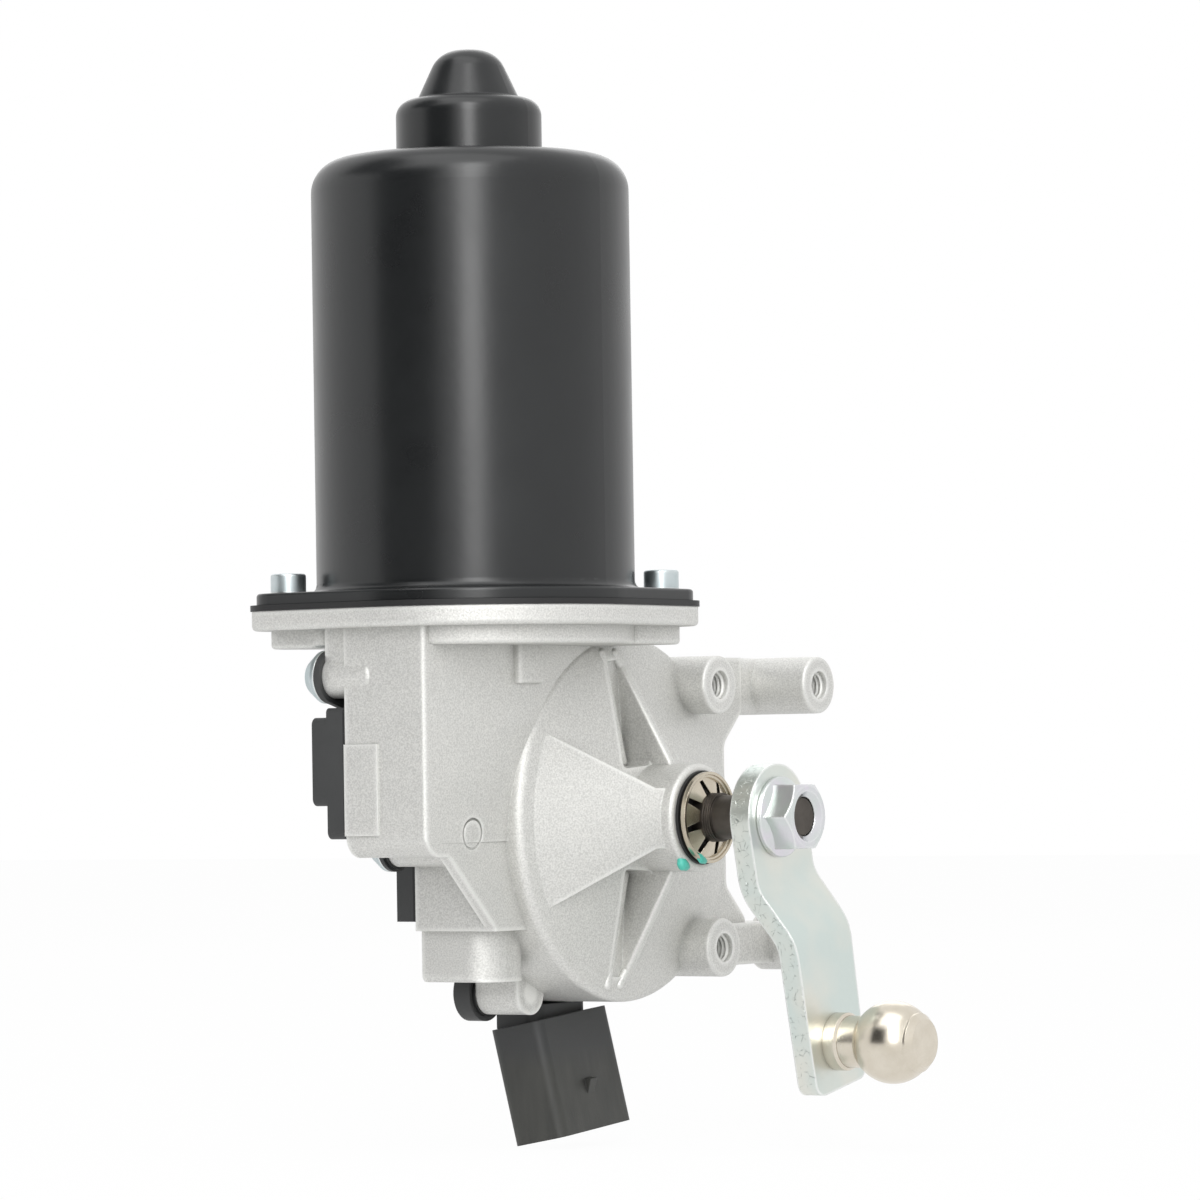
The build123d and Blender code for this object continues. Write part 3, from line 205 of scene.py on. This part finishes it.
# %% Black paint on the motor can
def black_paint():
    material, tree, shader, place = start_finish("black paint on drawn steel", IOR=1.5)
    peel = add(tree, "TexNoise", {"Vector": place, "Scale": pattern_scale(1.8), "Detail": 2.0})
    cloud = add(tree, "TexNoise", {"Vector": place, "Scale": pattern_scale(14), "Detail": 4.0})
    base = add(tree, "Mix", {0: cloud.outputs["Fac"], 6: colour("161718"), 7: colour("1f2122")},
               data_type="RGBA")
    rough = add(tree, "MapRange", {"Value": cloud.outputs["Fac"], "To Min": 0.24, "To Max": 0.34})
    edge = add(tree, "Bevel", {"Radius": 0.3 * mm}, samples=4)
    bump = add(tree, "Bump", {"Height": peel.outputs["Fac"], "Distance": 0.02 * mm,
                              "Strength": 0.5, "Normal": edge.outputs[0]})
    connect(tree, shader, Base_Color=base.outputs[2], Roughness=rough.outputs[0],
            Normal=bump.outputs[0])
    return material


can_paint = black_paint()
describe(can_paint)


# %% [markdown]
# ## Zinc plate
#
# Zinc on steel is bright at first, then sealed with a thin clear film. The film adds a tint
# that wanders between a cool green and a warm white on the stamped crank, and between a pale
# green and violet on the nut. A slow noise mixes the tints, and the edges are lightened, partly
# as rubbed wear and partly as a painted highlight.
# The crank was punched from thick sheet, which tears its edge, so faces that look sideways
# also get small nicks: the borders of a Voronoi pattern, kept only where a noise lets them
# through.


# %% Zinc plate on the crank, the nut and the screws
def zinc_plate(name, cool, warm, roughness, tint_size, sheared=0.0):
    """Zinc with two tints in patches of tint_size mm. Sheared is how torn its cut faces are."""
    material, tree, shader, place = start_finish(name, Metallic=1.0)
    film = add(tree, "TexNoise", {"Vector": place, "Scale": pattern_scale(tint_size), "Detail": 2.0})
    wear = add(tree, "TexNoise", {"Vector": place, "Scale": pattern_scale(1.2), "Detail": 5.0})
    spread = add(tree, "MapRange", {"Value": film.outputs["Fac"], "From Min": 0.35, "From Max": 0.65})
    base = add(tree, "Mix", {0: spread.outputs[0], 6: colour(cool), 7: colour(warm)},
               data_type="RGBA")
    facing = add(tree, "SeparateXYZ", {0: add(tree, "TexCoord").outputs["Normal"]}).outputs["X"]
    sideways = add(tree, "Math", {0: facing}, operation="ABSOLUTE")
    cut_face = add(tree, "MapRange", {"Value": sideways.outputs[0], "From Min": 0.4, "From Max": 0.2,
                                      "To Max": sheared})
    nick = add(tree, "TexVoronoi", {"Vector": place, "Scale": pattern_scale(1.6), "Randomness": 1.0},
               feature="DISTANCE_TO_EDGE")
    crack = add(tree, "MapRange", {"Value": nick.outputs["Distance"], "From Min": 0.06, "From Max": 0.0})
    patchy = add(tree, "MapRange", {"Value": wear.outputs["Fac"], "From Min": 0.5, "From Max": 0.62})
    nicked = add(tree, "Math", {0: crack.outputs[0], 1: patchy.outputs[0]}, operation="MULTIPLY")
    torn = add(tree, "Math", {0: nicked.outputs[0], 1: cut_face.outputs[0]}, operation="MULTIPLY")
    marked = add(tree, "Mix", {0: torn.outputs[0], 6: base.outputs[2], 7: colour("a3aca7")},
                 data_type="RGBA")
    # Edges lighten towards f6f8f6, partly as rubbed wear and partly as a painted highlight
    edged = add(tree, "Mix", {0: worn_and_lit_edges(tree, 0.5), 6: marked.outputs[2], 7: colour("f6f8f6")},
                data_type="RGBA")
    rough = add(tree, "MapRange", {"Value": wear.outputs["Fac"], "To Min": roughness * 0.75,
                                   "To Max": roughness * 1.3})
    edge = add(tree, "Bevel", {"Radius": 0.35 * mm}, samples=4)
    bump = add(tree, "Bump", {"Height": wear.outputs["Fac"], "Distance": 0.015 * mm,
                              "Strength": 0.5, "Normal": edge.outputs[0]})
    tear = add(tree, "Bump", {"Height": torn.outputs[0], "Distance": 0.1 * mm, "Strength": 1.0,
                              "Normal": bump.outputs[0]}, invert=True)
    connect(tree, shader, Base_Color=edged.outputs[2], Roughness=rough.outputs[0],
            Normal=tear.outputs[0])
    return material


screw_zinc = zinc_plate("bright zinc plate", "b9c6c8", "ced6d8", roughness=0.4, tint_size=5)
crank_zinc = zinc_plate("blue zinc plate on pressed steel", "d2dcd8", "e1e1d9", roughness=0.34,
                        tint_size=14, sheared=0.7)
nut_zinc = zinc_plate("bright zinc plate with a rainbow film", "d3d9d7", "dbd7df", roughness=0.22,
                      tint_size=5)
for zinc in (screw_zinc, crank_zinc, nut_zinc):
    describe(zinc)


# %% [markdown]
# ## Glass-filled nylon
#
# The cover and its plug socket are moulded in black nylon with short glass fibres. The die is
# spark-eroded, so the skin is a fine matte grain, and handling leaves it a little grey in
# patches. A roughness near 0.5 gives a broad, dull sheen instead of a mirror. A ramp over the
# height fades the plug socket, which hangs lowest, to a paler grey with streaks along its walls.


# %% Glass-filled nylon
fade_start_z = -47 * mm
fade_end_z = -52 * mm


def glass_filled_nylon():
    material, tree, shader, place = start_finish("glass-filled nylon, moulded", IOR=1.53)
    grain = add(tree, "TexNoise", {"Vector": place, "Scale": pattern_scale(0.4), "Detail": 3.0})
    cloud = add(tree, "TexNoise", {"Vector": place, "Scale": pattern_scale(9), "Detail": 6.0})
    skin = add(tree, "Mix", {0: cloud.outputs["Fac"], 6: colour("2c2d2e"), 7: colour("3d3e3e")},
               data_type="RGBA")
    along = add(tree, "Mapping", {"Vector": place, "Scale": (1, 1, 0.12)})
    streak = add(tree, "TexNoise", {"Vector": along.outputs[0], "Scale": pattern_scale(2.5),
                                    "Detail": 5.0})
    faded = add(tree, "Mix", {0: streak.outputs["Fac"], 6: colour("2b2c2a"), 7: colour("454541")},
                data_type="RGBA")
    height = add(tree, "SeparateXYZ", {0: place}).outputs["Z"]
    low_down = add(tree, "MapRange", {"Value": height, "From Min": fade_start_z, "From Max": fade_end_z})
    paler_below = add(tree, "Mix", {0: low_down.outputs[0], 6: skin.outputs[2], 7: faded.outputs[2]},
               data_type="RGBA")
    # Painted shade: corners darken towards 161716
    shaded = add(tree, "Mix", {0: creases(tree, 2, 0.7), 6: paler_below.outputs[2], 7: colour("161716")},
                 data_type="RGBA")
    rough = add(tree, "MapRange", {"Value": cloud.outputs["Fac"], "To Min": 0.42, "To Max": 0.62})
    edge = add(tree, "Bevel", {"Radius": 0.3 * mm}, samples=4)
    bump = add(tree, "Bump", {"Height": grain.outputs["Fac"], "Distance": 0.04 * mm,
                              "Strength": 0.6, "Normal": edge.outputs[0]})
    connect(tree, shader, Base_Color=shaded.outputs[2], Roughness=rough.outputs[0],
            Normal=bump.outputs[0])
    return material


cover_nylon = glass_filled_nylon()
describe(cover_nylon)


# %% [markdown]
# ## Plain metals
#
# The remaining metals differ in colour, in how sharply they mirror, and in the direction
# of their tool marks. A turned or ground piece has fine rings about its own axis, which a
# noise squeezed along that axis imitates. On the ball stud, painted shade darkens the creases
# to a brown grey.


# %% Turned, ground and pressed metals
rings_about_x = (6, 1, 1)
rings_about_z = (1, 1, 6)


def worked_metal(name, dark, light, roughness, line_size, squeeze=(1, 1, 1), painted_crease_shade=0.0):
    """Metal with tool marks of line_size millimetres. The last argument is how dark its painted crease shade
    is.
    """
    material, tree, shader, place = start_finish(name, Metallic=1.0)
    along = add(tree, "Mapping", {"Vector": place, "Scale": squeeze})
    lines = add(tree, "TexNoise", {"Vector": along.outputs[0], "Scale": pattern_scale(line_size),
                                   "Detail": 3.0})
    cloud = add(tree, "TexNoise", {"Vector": place, "Scale": pattern_scale(4), "Detail": 3.0})
    base = add(tree, "Mix", {0: cloud.outputs["Fac"], 6: colour(dark), 7: colour(light)},
               data_type="RGBA")
    # Painted shade: creases darken towards the brown grey 5b5348
    if painted_crease_shade:
        base = add(tree, "Mix", {0: creases(tree, 1.5, painted_crease_shade, samples=6), 6: base.outputs[2],
                                 7: colour("5b5348")}, data_type="RGBA")
    rough = add(tree, "MapRange", {"Value": lines.outputs["Fac"], "To Min": roughness * 0.7,
                                   "To Max": roughness * 1.35})
    edge = add(tree, "Bevel", {"Radius": 0.2 * mm}, samples=4)
    bump = add(tree, "Bump", {"Height": lines.outputs["Fac"], "Distance": 0.01 * mm,
                              "Strength": 0.5, "Normal": edge.outputs[0]})
    connect(tree, shader, Base_Color=base.outputs[2], Roughness=rough.outputs[0],
            Normal=bump.outputs[0])
    return material


metals = {
    # Phosphate is a dull brown-grey crystal skin that holds oil
    "dark_steel": worked_metal("phosphated steel", "4a4541", "66615b", 0.42, 0.8, rings_about_x),
    # Grinding leaves fine rings and a blurred mirror
    "bright_steel": worked_metal("ground steel", "a9aaac", "c4c5c6", 0.25, 0.6, rings_about_z),
    # Nickel is a yellower white than zinc, here with painted shade in its creases
    "nickel_ball": worked_metal("polished nickel plate", "cdc4b4", "e4ddd0", 0.24, 0.5, rings_about_x,
                                painted_crease_shade=0.6),
    # The retainer is sprung sheet under the same plate, smooth enough to mirror the lamps
    "nickel_clip": worked_metal("nickel-plated spring steel", "b9ae9b", "d6cebf", 0.22, 0.8),
    # Sintered bronze is full of oil-filled pores, so it hardly mirrors
    "bronze": worked_metal("sintered bronze", "8a6234", "b08650", 0.45, 0.3),
    # Bare wire and bars keep the red and the soft shine of drawn copper
    "copper": worked_metal("drawn copper", "a85f3c", "c98158", 0.3, 0.4, rings_about_z),
    # Stamped brass is smooth and yellow
    "brass": worked_metal("stamped brass", "b08d49", "cfae68", 0.28, 0.6),
    # The edges of the stacked sheets give fine rings round the stack
    "silicon_steel": worked_metal("stacked steel sheet", "5f6164", "8d9093", 0.38, 0.5, rings_about_z),
}
for metal in metals.values():
    describe(metal)


# %% [markdown]
# ## Plain non-metals
#
# Rubber, ferrite, carbon, laminate and moulded nylon share one recipe: a grain of a known
# size that moves the colour, the roughness and the relief a little.


# %% Rubber, ferrite, carbon, laminate and ivory nylon
def grained(name, dark, light, roughness, grain_size, relief, ior, **sockets):
    """A non-metal whose grain is grain_size millimetres wide and relief millimetres deep."""
    material, tree, shader, place = start_finish(name, IOR=ior, **sockets)
    grain = add(tree, "TexNoise", {"Vector": place, "Scale": pattern_scale(grain_size), "Detail": 4.0})
    base = add(tree, "Mix", {0: grain.outputs["Fac"], 6: colour(dark), 7: colour(light)},
               data_type="RGBA")
    rough = add(tree, "MapRange", {"Value": grain.outputs["Fac"], "To Min": roughness * 0.85,
                                   "To Max": roughness * 1.15})
    bump = add(tree, "Bump", {"Height": grain.outputs["Fac"], "Distance": relief * mm,
                              "Strength": 0.7})
    connect(tree, shader, Base_Color=base.outputs[2], Roughness=rough.outputs[0],
            Normal=bump.outputs[0])
    return material


non_metals = {
    # A rubber-coated sheet is near black, with a soft sheen
    "black_sheet": grained("black sheet gasket", "121213", "222223", 0.5, 0.8, 0.03, 1.5),
    # Moulded rubber is the dullest black on the motor
    "black_seal": grained("moulded rubber", "0f0f10", "1c1c1d", 0.6, 0.5, 0.03, 1.52),
    # Ferrite is a ceramic: dark grey, dense, ground flat
    "ferrite": grained("ground ferrite", "2b2c2e", "3b3c3e", 0.55, 0.6, 0.03, 1.8),
    # Pressed carbon is black with a faint grey polish
    "carbon": grained("pressed carbon", "1b1b1d", "2c2c2f", 0.5, 0.4, 0.04, 1.7),
    # Paper soaked in resin cures to a mottled brown
    "brown_laminate": grained("phenolic laminate", "4a2b1a", "6a4128", 0.45, 1.5, 0.02, 1.55),
    # Light sinks a little way into uncoloured nylon, which makes it look milky
    "ivory_nylon": grained("ivory nylon, moulded", "d8cdac", "e6ddc2", 0.4, 1.2, 0.02, 1.53,
                           Subsurface_Weight=0.15, Subsurface_Scale=0.001),
}
for non_metal in non_metals.values():
    describe(non_metal)


# %% [markdown]
# ## Every solid gets its finish
#
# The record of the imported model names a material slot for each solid, and several solids share
# one slot. Only the crank's nut departs from its slot: its film is thicker than the one on the
# screws, and plays between a pale green and violet.

# %% Give every solid its finish
finishes = {
    "cast_aluminium": cast_aluminium,
    "black_paint": can_paint,
    "zinc_screw": screw_zinc,
    "zinc_crank": crank_zinc,
    "black_plastic": cover_nylon,
    **metals,
    **non_metals,
}
own_finishes = {"crank_nut": nut_zinc}

slot_of = {part["node"]: part["material_slot"] for part in record["subparts"]}
for name, node in nodes.items():
    node.data.materials.clear()
    node.data.materials.append(own_finishes.get(name, finishes[slot_of[name]]))
print("finishes given to", len(slot_of), "solids")

# %% [markdown]
# ## Threads in the mounting posts
#
# Each post is tapped M6, which means a ridge that winds in 1 mm with every turn. The solid
# has a plain hole of the thread's outer diameter. A screw thread is a small triangle carried
# round an axis while it moves along it, and that is what bmesh's spin does when it is given a
# shift for each step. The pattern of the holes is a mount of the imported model, so their places
# and their width are read from its record. The four ridges are one piece and take the finish
# of the casting.
#
# One helper makes an object of a finished bmesh. Its mesh already lies where the piece
# belongs, so the object itself stays at the origin.

# %% Threads in the mounting posts
posts = next(mount for mount in record["mounts"] if mount["name"] == "mounting_posts")["dims"]
half_y = posts["spacing_x_mm"] / 2 * mm
half_z = posts["spacing_y_mm"] / 2 * mm
post_places = [(y, z) for y in (-half_y, half_y) for z in (-half_z, half_z)]
thread_pitch = 1.0 * mm
thread_sink = 0.02 * mm
thread_depth = 0.5 * mm
thread_outer_r = posts["hole_r_mm"] * mm + thread_sink
thread_inner_r = posts["hole_r_mm"] * mm - thread_depth
thread_half_width = 0.46 * thread_pitch
thread_turns = 11
steps_per_turn = 24
thread_start_x = -0.7 * mm


def new_piece(name, shape, body, finish, smooth=True):
    """Makes an object of a finished bmesh and lets it ride on a body."""
    for face in shape.faces:
        face.smooth = smooth
    mesh = bpy.data.meshes.new(name)
    shape.to_mesh(mesh)
    shape.free()
    mesh.materials.append(finish)
    piece = bpy.data.objects.new(name, mesh)
    scene.collection.objects.link(piece)
    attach(piece, body)
    print(name, len(mesh.polygons), "faces")


def thread_ridge(shape, y, z):
    """Winds a triangle into a hole that runs along X."""
    corners = (
        (-thread_half_width, thread_outer_r), (0, thread_inner_r), (thread_half_width, thread_outer_r),
    )
    verts = [shape.verts.new((thread_start_x + x, y, z + r)) for x, r in corners]
    face = shape.faces.new(verts)
    bmesh.ops.spin(shape, geom=[*verts, *face.edges, face], cent=(0, y, z), axis=(1, 0, 0),
                   dvec=(-thread_pitch / steps_per_turn, 0, 0), angle=2 * pi * thread_turns,
                   steps=thread_turns * steps_per_turn)


threads = bmesh.new()
for y, z in post_places:
    thread_ridge(threads, y, z)
bmesh.ops.recalc_face_normals(threads, faces=threads.faces)
new_piece("post_threads", threads, "housing", cast_aluminium, smooth=False)

# %% [markdown]
# ## Beads on the gearbox face
#
# The die leaves a rounded bead along the edges of the two pockets beside the tower, where
# the metal has to flow past the core. Each bead is half sunk into the face, so it is a round
# bar: a circle extruded along its line, ring by ring, where the rings at both ends widen and
# shrink as on a ball. Each tip keeps a tiny hole, which one face closes at the end. All four
# beads are one piece, mirrored about the middle of the face. Their ends are places on the
# casting, in millimetres.

# %% Beads on the gearbox face
bead_r = 1.0 * mm
bead_sides = 16
bead_end_rings = 4
bead_tip_share = 0.02
bead_lines = [
    ((-8.3, -50.5, 34.2), (-7.2, -45.0, 11.6)),
    ((-8.2, -46.2, 34.2), (-3.1, -32.0, 12.2)),
]


def bead(shape, start, end):
    """A round bar with rounded ends, from start to end."""
    line = end - start
    quarter = [pi / 2 * i / bead_end_rings for i in range(bead_end_rings + 1)]
    rings = [(cos(a), -sin(a) * bead_r) for a in reversed(quarter)]
    rings += [(cos(a), sin(a) * bead_r + line.length) for a in quarter]
    ring = bmesh.ops.create_circle(shape, cap_ends=False, segments=bead_sides, radius=bead_r)["verts"]
    bar = list(ring)
    share_now, height_now = 1.0, 0.0
    for k, (share, height) in enumerate(rings):
        if k:
            edges = [e for e in shape.edges if all(v in ring for v in e.verts)]
            grown = bmesh.ops.extrude_edge_only(shape, edges=edges)["geom"]
            ring = [g for g in grown if isinstance(g, bmesh.types.BMVert)]
            bar += ring
        share = max(share, bead_tip_share)
        bmesh.ops.translate(shape, verts=ring, vec=(0, 0, height - height_now))
        bmesh.ops.scale(shape, verts=ring, vec=(share / share_now, share / share_now, 1))
        share_now, height_now = share, height
    turn = line.to_track_quat("Z", "Y").to_matrix().to_4x4()
    bmesh.ops.transform(shape, verts=bar, matrix=Matrix.Translation(start) @ turn)


beads = bmesh.new()
for start, end in bead_lines:
    for side in (1, -1):
        mirrored = Matrix.Diagonal((mm, mm, side * mm))
        bead(beads, mirrored @ Vector(start), mirrored @ Vector(end))
bmesh.ops.holes_fill(beads, edges=[e for e in beads.edges if e.is_boundary], sides=0)
bmesh.ops.recalc_face_normals(beads, faces=beads.faces)
new_piece("face_beads", beads, "housing", cast_aluminium)

# %% [markdown]
# ## The pad under the flange
#
# A shallow pad stands out of the front of the casting, just under the flange. It is a block
# whose edges are rounded by a bevel, and whose back is sunk in the wall.

# %% The pad under the flange
pad_low = Vector((-10.5, -79.8, 27.8)) * mm
pad_high = Vector((-7.5, -71.4, 36.5)) * mm
pad_round = 0.7 * mm
pad_round_steps = 4
pad = bmesh.new()
bmesh.ops.create_cube(pad, size=1)
bmesh.ops.scale(pad, verts=pad.verts, vec=pad_high - pad_low)
bmesh.ops.translate(pad, verts=pad.verts, vec=(pad_high + pad_low) / 2)
bmesh.ops.bevel(pad, geom=pad.edges[:], offset=pad_round, affect="EDGES", segments=pad_round_steps,
                profile=0.5, material=-1)
new_piece("face_pad", pad, "housing", cast_aluminium)

# %% [markdown]
# ## Witness paint
#
# After assembly a worker dabs a spot of lacquer over the tower's rim and the retainer, which
# shows later that nobody has moved them. A dab is a drop that has spread: round, thin, a bit
# ragged at its rim. A flattened ball gives the swell, and two waves round its rim, a broad and
# a small one, make it ragged. Each dab rides on the body that it was dropped on, because the
# retainer turns with the shaft. Places and sizes are in millimetres, and turns in degrees.
# The lacquer is blue-green and a little cloudy, and smooth enough to mirror softly.

# %% Witness paint
dab_sides = 28
dab_rings = 14
broad_waves, broad_height, broad_shift = 3, 0.1, 0.7
small_waves, small_height = 7, 0.05


def green_lacquer():
    material, tree, shader, place = start_finish("green lacquer, dabbed on", IOR=1.48)
    shade = add(tree, "TexNoise", {"Vector": place, "Scale": pattern_scale(0.8), "Detail": 2.0})
    base = add(tree, "Mix", {0: shade.outputs["Fac"], 6: colour("35b39f"), 7: colour("6fd2c2")},
               data_type="RGBA")
    rough = add(tree, "MapRange", {"Value": shade.outputs["Fac"], "To Min": 0.3, "To Max": 0.45})
    connect(tree, shader, Base_Color=base.outputs[2], Roughness=rough.outputs[0])
    return material


def dab(name, body, centre, size, turn):
    """A drop that has spread, wider than it is thick, with a wavy rim."""
    shape = bmesh.new()
    bmesh.ops.create_uvsphere(shape, u_segments=dab_sides, v_segments=dab_rings, radius=0.5)
    for vert in shape.verts:
        angle = atan2(vert.co.z, vert.co.y)
        ragged = 1 + broad_height * sin(broad_waves * angle + broad_shift)
        ragged += small_height * sin(small_waves * angle)
        vert.co.y *= ragged
        vert.co.z *= ragged
    bmesh.ops.scale(shape, verts=shape.verts, vec=[s * mm for s in size])
    spot = Matrix.Translation([c * mm for c in centre])
    bmesh.ops.transform(shape, verts=shape.verts, matrix=spot @ Matrix.Rotation(radians(turn), 4, "X"))
    new_piece(name, shape, body, lacquer)


lacquer = green_lacquer()
describe(lacquer)
dab("tower_paint_mark", "housing", centre=(9.2, -47.3, -9.5), size=(2.2, 3.8, 2.4), turn=-32)
dab("retainer_paint_mark", "output", centre=(11.8, -44.3, -8.5), size=(1.2, 3.6, 1.7), turn=-24)

# %% [markdown]
# ## The camera
#
# The picture is taken from far away with a long lens, which keeps upright edges nearly
# parallel. The camera stands low, level with the gearbox, and looks slightly up at the can. It
# is turned 35 degrees to the side, which shows the crank's face and the posts together, and it
# is rolled by about a degree. The motor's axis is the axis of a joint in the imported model.
# Only the film's width and the lens are in millimetres, as on a real camera.

# %% Camera
view_azimuth = radians(35.2)
view_pitch = radians(1.62)
view_roll = radians(-0.92)
camera_distance = 1.18
camera_sideways = 0.0253
camera_height = 0.0114
film_width = 36
lens_length = 173.4
armature_joint = next(joint for joint in frame["joints"] if joint["name"] == "armature_spin")
motor_axis = Vector(armature_joint["pos_m"])

toward_camera = Vector((sin(view_azimuth), -cos(view_azimuth), 0))
image_right = Vector((cos(view_azimuth), sin(view_azimuth), 0))
camera_place = motor_axis + camera_distance * toward_camera + camera_sideways * image_right
camera_place.z = camera_height

camera = bpy.data.objects.new("camera", bpy.data.cameras.new("camera"))
camera.data.sensor_width = film_width
camera.data.lens = lens_length
camera.matrix_world = (
    Matrix.Translation(camera_place)
    @ Matrix.Rotation(view_azimuth, 4, "Z")
    @ Matrix.Rotation(pi / 2 + view_pitch, 4, "X")
    @ Matrix.Rotation(view_roll, 4, "Z")
)
scene.collection.objects.link(camera)
scene.camera = camera
print("camera at", [round(c, 3) for c in camera_place])

# %% [markdown]
# ## Lamps
#
# A tall strip lamp hangs above the camera, and its reflection draws the bright stripe down the
# can. A large box overhead gives the soft light from the top, and a weaker one stands behind.
# A lamp's power is worked out from the brightness that its face should have, because that is
# what a glossy surface mirrors. Directions are in degrees as seen from the motor, with azimuth
# 0 towards -Y.


# %% Lamps
def aimed(azimuth, elevation, distance):
    """Where a flat thing goes so that it faces the motor from this direction."""
    a = radians(azimuth)
    e = radians(elevation)
    direction = Vector((sin(a) * cos(e), -cos(a) * cos(e), sin(e)))
    turn = direction.to_track_quat("Z", "Y").to_matrix().to_4x4()
    return Matrix.Translation(cad_middle + distance * direction) @ turn


def softbox(name, azimuth, elevation, distance, width, height, brightness):
    """A rectangular lamp that faces the motor from this direction."""
    lamp = bpy.data.lights.new(name, "AREA")
    lamp.shape = "RECTANGLE"
    lamp.size = width
    lamp.size_y = height
    lamp.energy = brightness * pi * width * height
    lamp_object = bpy.data.objects.new(name, lamp)
    lamp_object.matrix_world = aimed(azimuth, elevation, distance)
    scene.collection.objects.link(lamp_object)
    print(name, "gives", round(lamp.energy, 2), "watts")


softbox("strip light", azimuth=35, elevation=28, distance=1.3, width=0.34, height=1.3, brightness=7.5)
softbox("overhead box", azimuth=15, elevation=70, distance=1.2, width=1.1, height=0.9, brightness=1.2)
softbox("rear box", azimuth=215, elevation=30, distance=1.5, width=0.9, height=0.9, brightness=0.8)

# %% [markdown]
# ## Dark cards
#
# A bright studio leaves nothing dark to mirror, and shiny things then look flat. So two dark
# cards hang to the left of the camera. They take part in reflections alone: the camera doesn't
# see them, and they neither shade the motor nor colour its soft light.


# %% Dark cards
def dark_card(name, azimuth, elevation, distance, width, height, shade):
    """A card that only mirrors see, as a photographer's black flag."""
    card_shape = bmesh.new()
    bmesh.ops.create_grid(card_shape, x_segments=1, y_segments=1, size=0.5)
    bmesh.ops.scale(card_shape, verts=card_shape.verts, vec=(width, height, 1))
    bmesh.ops.transform(card_shape, verts=card_shape.verts, matrix=aimed(azimuth, elevation, distance))
    mesh = bpy.data.meshes.new(name)
    card_shape.to_mesh(mesh)
    card_shape.free()
    card = bpy.data.objects.new(name, mesh)
    card.visible_camera = False
    card.visible_diffuse = False
    card.visible_shadow = False
    cloth = start_finish(name + " cloth", Base_Color=colour(shade), Roughness=1.0)[0]
    mesh.materials.append(cloth)
    scene.collection.objects.link(card)
    print(name, "mirrors the colour", shade)


dark_card("left flag", azimuth=-12, elevation=5, distance=1.5, width=1.25, height=2.0, shade="161616")
dark_card("upper left flag", azimuth=-55, elevation=45, distance=1.5, width=0.9, height=0.9, shade="6a6a6a")

# %% [markdown]
# ## The world
#
# A white world gives the overall light. It is fully white where the camera, a mirror or glass
# looks at it, and a little over half as bright where it only lights things, which leaves the
# lamps room to shape the motor. The Light Path node tells the two kinds of ray apart.


# %% World
def looked_at(tree):
    """An output that is 1 for rays from the camera, a mirror or glass, and 0 for the others."""
    ray = add(tree, "LightPath").outputs
    mirrored = add(tree, "Math", {0: ray["Is Glossy Ray"], 1: ray["Is Transmission Ray"]},
                   operation="ADD")
    seen = add(tree, "Math", {0: ray["Is Camera Ray"], 1: mirrored.outputs[0]}, operation="ADD",
               use_clamp=True)
    return seen.outputs[0]


ambient_level = 0.55
world = bpy.data.worlds.new("white studio")
world.use_nodes = True
scene.world = world
world_tree = world.node_tree
world_tree.nodes.clear()
strength = add(world_tree, "MapRange", {"Value": looked_at(world_tree), "To Min": ambient_level,
                                        "To Max": 1.0})
backdrop = add(world_tree, "Background", {"Color": colour("ffffff"), "Strength": strength.outputs[0]})
add(world_tree, "OutputWorld", {"Surface": backdrop.outputs[0]})
print("world light", ambient_level)

# %% [markdown]
# ## The table
#
# A large white sheet lies just under the lowest point of the motor. It has to look as white
# as the background, and still hold the object's soft shadow, so its shader is mostly plain
# white with a small share of ordinary matt paint that the shadow can darken.

# %% Table
table_half_width = 3.0
table_gap = 0.0005
plain_share = 0.97
table_mesh = bpy.data.meshes.new("table")
table_shape = bmesh.new()
bmesh.ops.create_grid(table_shape, x_segments=1, y_segments=1, size=table_half_width)
bmesh.ops.translate(table_shape, verts=table_shape.verts, vec=(0, 0, cad_low.z - table_gap))
table_shape.to_mesh(table_mesh)
table_shape.free()
table = bpy.data.objects.new("table", table_mesh)
scene.collection.objects.link(table)

white_table = bpy.data.materials.new("white table")
white_table.use_nodes = True
table_tree = white_table.node_tree
table_tree.nodes.clear()
share = add(table_tree, "Math", {0: looked_at(table_tree), 1: plain_share}, operation="MULTIPLY")
matt = add(table_tree, "BsdfDiffuse", {"Color": colour("f2f2f2")})
plain = add(table_tree, "Emission", {"Color": colour("ffffff"), "Strength": 1.0})
mixed = add(table_tree, "MixShader", {0: share.outputs[0], 1: matt.outputs[0], 2: plain.outputs[0]})
add(table_tree, "OutputMaterial", {"Surface": mixed.outputs[0]})
table_mesh.materials.append(white_table)
print("table top at z", round(cad_low.z - table_gap, 4))

# %% [markdown]
# ## The view transform
#
# The render shows its colours through the Standard view transform.

# %% Finish
scene.view_settings.view_transform = "Standard"
